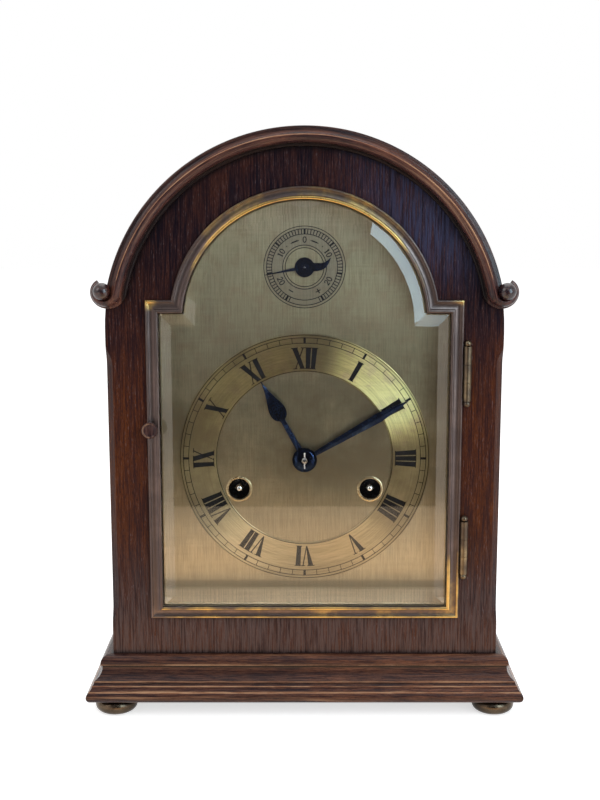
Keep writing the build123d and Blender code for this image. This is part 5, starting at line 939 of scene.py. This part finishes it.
def bezel_wear_and_highlight(x, y, z):
    """The bottom rail, the lower right stile and the shoulder corners are rubbed to bare gold; the arch is
    paler towards its top, most on the bead, as a painted highlight.
    """
    bead, rim = y < -69.3, y < -68.1 and min(DOOR_HALF - abs(x), z - DOOR_LOW) < 2
    low_rail = z < DOOR_LOW + 8 and z - DOOR_LOW < DOOR_HALF - abs(x) - 0.2
    bottom = (0.56 if bead else 0.62 if rim else 0.30) if low_rail else 0.0
    right = math.exp(-(((x - 82) / 6) ** 2) - ((z - 70) / 32) ** 2) * (0.8 if y < -68.0 else 0.35)
    corner = 0.75 * math.exp(-((math.dist((abs(x), z), (85, 233)) / 5) ** 2))
    # Painted highlight: the arch paler towards its top, most on its bead.
    arch = (0.84 if bead else 0.44) * min(1.0, max(0.0, (z - 232) / 35))
    return max(bottom, right, corner, arch)


rail_cuts = [0.004] + [i / 40 for i in range(1, 40)] + [0.996]
brass = old_brass("bezel_brass", BEZEL_METAL, BEZEL_TARNISH, 0.60, 0.30, bare=BEZEL_BARE, size=45)
rows = [break_arch(*spot, cuts=rail_cuts) for spot in rail]
rails = make_piece("door_bezel_rails", skin(rows, ring=True, loop=True), worn=bezel_wear_and_highlight)
fit(rails, brass, "front_door", "bezel_brass", "door_bezel")

# Door glass: one plate of clear glass, ground to a wide bevel all round and set in the bezel's
# rebate with a brass retainer behind it.


def plate_glass(name):
    """Clear glass. Lamps shine straight through it, so the dial behind isn't in its shadow."""
    finish, tree, shader = new_finish(name)
    settle(shader, {"Base Color": (0.975, 0.985, 0.975, 1), "Roughness": 0.0})
    settle(shader, {"IOR": 1.5, "Transmission Weight": 1.0})
    lit = step(tree, "LightPath").outputs["Is Shadow Ray"]
    clear = step(tree, "BsdfTransparent", {0: (0.93, 0.95, 0.93, 1)}).outputs[0]
    mix = step(tree, "MixShader", {0: lit, 1: shader.outputs[0], 2: clear})
    tree.links.new(mix.outputs[0], tree.nodes["Material Output"].inputs["Surface"])
    return finish


panes = [(5.8, -66.2), (5.8, -67.2), (7.0, -67.2), (14.0, -69.6)]
rows = [break_arch(*spot) for spot in panes]
pane = make_piece("door_glass_pane", skin(rows, ring=True, ends=True), crease=6)
fit(pane, plate_glass("plate_glass"), "front_door", "glass", "door_glass")
dress(old_brass("retainer_brass", (0.70, 0.60, 0.45, 1), (0.48, 0.40, 0.30, 1), 0.5, 0.5), "glass_retainer")

# Door knob: a small turned button of dark wood, with a raised edge and a dished face. Its stem
# goes into the bezel's left stile, and its raised edge is pale, partly rubbed by fingers and partly a painted
# highlight.
KNOB_PLACE = (-84.1, -70.0, 163.0)
button = [(0, -2.2), (1.3, -2.2), (1.3, 1.4), (3.4, 1.45), (4.2, 1.8), (4.5, 2.5), (4.45, 3.1)]
button += [(4.15, 3.5), (3.75, 3.6), (3.4, 3.5), (3.2, 3.3), (2.0, 3.1), (0.8, 3.05), (0, 3.05)]
# The raised edge paler: partly finger wear, partly a painted highlight.
knob_wear_and_highlight = lambda x, y, z: 0.48 if y < -73.45 else 0.0
oak = stained_oak("knob_wood", GRAIN_Z, flecks=0.05, shift=0.83, worn=True, warm=(0.10, 0.050, 0.042, 1))
knob = make_piece("door_knob_button", turned(button, KNOB_PLACE, steps=48), worn=knob_wear_and_highlight)
fit(knob, oak, "front_door", "knob_wood", "door_knob")

# Hinges: brass butts with a ball at each end of the pin, browned with age. The leaves are let
# into the case and the doors, so the barrels are what shows.
HINGE_METAL, HINGE_TARNISH = (0.22, 0.165, 0.095, 1), (0.075, 0.056, 0.042, 1)
hinge_brass = old_brass("hinge_brass", HINGE_METAL, HINGE_TARNISH, 0.55, 0.26, size=120)
dress(hinge_brass, "case_hinge_leaves", "front_door_hinge_leaves", "rear_door_hinge_leaves", "hinge_pins")

# Back door: a plain stained board on two butts, with a small turned brass knob. It closes the
# opening in the back frame that the movement is reached through.
dress(stained_oak("back_door_oak", GRAIN_Z, flecks=0.25, shift=0.94), "rear_door")
dress(old_brass("back_knob_brass", PLATE_METAL, PLATE_DULL, 0.45, 0.22), "rear_door_knob")

# Studio: a white floor and a white surround, with soft lamps in front, to the sides and above.
# Cards in front and at each side are seen by polished faces alone, so that glass and brass have
# something dark, tan and pale to mirror. The floor takes the clock's shadow.
SURROUND, FLOOR_GLOW, FLOOR_ENDS = 0.55, 0.62, (-4000, 4000)


def seen_directly(tree):
    path = step(tree, "LightPath").outputs
    seen = sums("MAXIMUM", path["Is Camera Ray"], path["Is Glossy Ray"])
    return sums("MAXIMUM", seen, path["Is Transmission Ray"])


world = bpy.data.worlds.new("white_surround")
bpy.context.scene.world = world
world.use_nodes = True
tree = world.node_tree
background = tree.nodes["Background"]
background.inputs["Color"].default_value = (1, 1, 1, 1)
tree.links.new(spread(seen_directly(tree), 0, 1, SURROUND, 1.0, False), background.inputs["Strength"])

floor = make_piece("floor", skin([[(x, y, 0) for x in FLOOR_ENDS] for y in FLOOR_ENDS]))
finish, tree, shader = new_finish("white_floor")
settle(shader, {"Base Color": (0.8, 0.8, 0.8, 1), "Roughness": 0.9, "Emission Color": (1, 1, 1, 1)})
tree.links.new(times(seen_directly(tree), FLOOR_GLOW), shader.inputs["Emission Strength"])
floor.data.materials.append(finish)

LOW_CARD_FRONT, FRONT_CARD = -530, -2200
CARD_TAN, CARD_BRIGHT = (0.98, 0.76, 0.54, 1), (5.6, 7.6, 8.8, 1)
CARD_DARK, CARD_GREY = (0.022, 0.020, 0.020, 1), (0.15, 0.15, 0.175, 1)
CARD_CORNER = (2.9, 4.0, 4.7, 1)
CARD_PALE, CARD_NEAR = (1.8, 1.65, 1.55, 1), (2.4, 1.75, 1.15, 1)
front = [(y, 0.5) for y in (LOW_CARD_FRONT, -800, -1300, FRONT_CARD)]
front += [(FRONT_CARD, z) for z in (400, 1000, 1900)]
low_ends, near_ends = ((186, LOW_CARD_FRONT), (150, -250)), ((150, -250), (130, -90))
side_ends = ((210, -720), (130, -90))
bright = [(552, -1075, 60), (1230, -960, 60), (552, -1075, 1120), (1230, -960, 1120)]
cards = [
    ("low_card", [[(-x, y, 0.6), (x, y, 0.6)] for x, y in low_ends], CARD_TAN),
    ("near_card", [[(-x, y, 0.6), (x, y, 0.6)] for x, y in near_ends], CARD_NEAR),
    ("left_low_card", [[(-800, y, 0.6), (-x, y, 0.6)] for x, y in side_ends], CARD_PALE),
    ("right_low_card", [[(x, y, 0.6), (800, y, 0.6)] for x, y in side_ends], CARD_PALE),
    ("front_card", [[(-2500, y, z), (2500, y, z)] for y, z in front], CARD_DARK, CARD_GREY),
    ("bright_card", [bright[:2], bright[2:]], CARD_BRIGHT),
    ("corner_card", [[(120, -1000, z), (300, -1000, z)] for z in (720, 930)], CARD_CORNER),
    ("left_card", [[(-330, -700, z), (-700, -480, z)] for z in (0.7, 260)], CARD_PALE),
    ("right_card", [[(330, -700, z), (700, -480, z)] for z in (0.7, 172)], CARD_PALE),
]
for name, rows, near, *far in cards:
    away = lambda x, y, z: min(1.0, (LOW_CARD_FRONT - y) / 2600 + z / 1000)
    card = make_piece(name, skin(rows), share=away)
    finish, tree, shader = new_finish(name)
    share = mapped(tree, "share", "Fac")
    glow = step(tree, "Emission", {"Color": blend(share, near, far[0] if far else near)}).outputs[0]
    mirrored = step(tree, "LightPath").outputs["Glossy Depth"]
    mix = step(tree, "MixShader", {0: mirrored, 1: step(tree, "BsdfTransparent").outputs[0], 2: glow})
    tree.links.new(mix.outputs[0], tree.nodes["Material Output"].inputs["Surface"])
    finish.cycles.emission_sampling = "NONE"
    card.data.materials.append(finish)
    card.visible_camera = card.visible_diffuse = card.visible_shadow = False

lamps = [
    ("left_lamp", (-1.35, -0.95, 1.25), (1.0, 1.0), 10, (1.0, 0.985, 0.96)),
    ("right_lamp", (0.87, -1.03, 0.58), (0.75, 1.1), 11, (0.90, 0.96, 1.0)),
    ("top_lamp", (0.1, 0.3, 1.6), (1.4, 1.4), 11, (1.0, 1.0, 1.0)),
]
for name, place, (wide, tall), power, tint in lamps:
    lamp = bpy.data.lights.new(name, "AREA")
    lamp.shape, lamp.size, lamp.size_y = "RECTANGLE", wide, tall
    lamp.energy, lamp.color = power, tint
    held = bpy.data.objects.new(name, lamp)
    held.location = place
    held.visible_glossy = name != "right_lamp"
    held.rotation_euler = (Vector((0, 0, 0.16)) - Vector(place)).to_track_quat("-Z", "Y").to_euler()
    bpy.context.scene.collection.objects.link(held)

eye = bpy.data.cameras.new("photo_camera")
eye.lens, eye.sensor_width, eye.shift_x = 55.575, 36.0, -0.00575
camera = bpy.data.objects.new("photo_camera", eye)
camera.location = (0, -0.731, 0.2902)
camera.rotation_euler = (math.radians(90 - 9.515), 0, 0)
bpy.context.scene.collection.objects.link(camera)
bpy.context.scene.camera = camera
bpy.context.scene.view_settings.view_transform = "Standard"
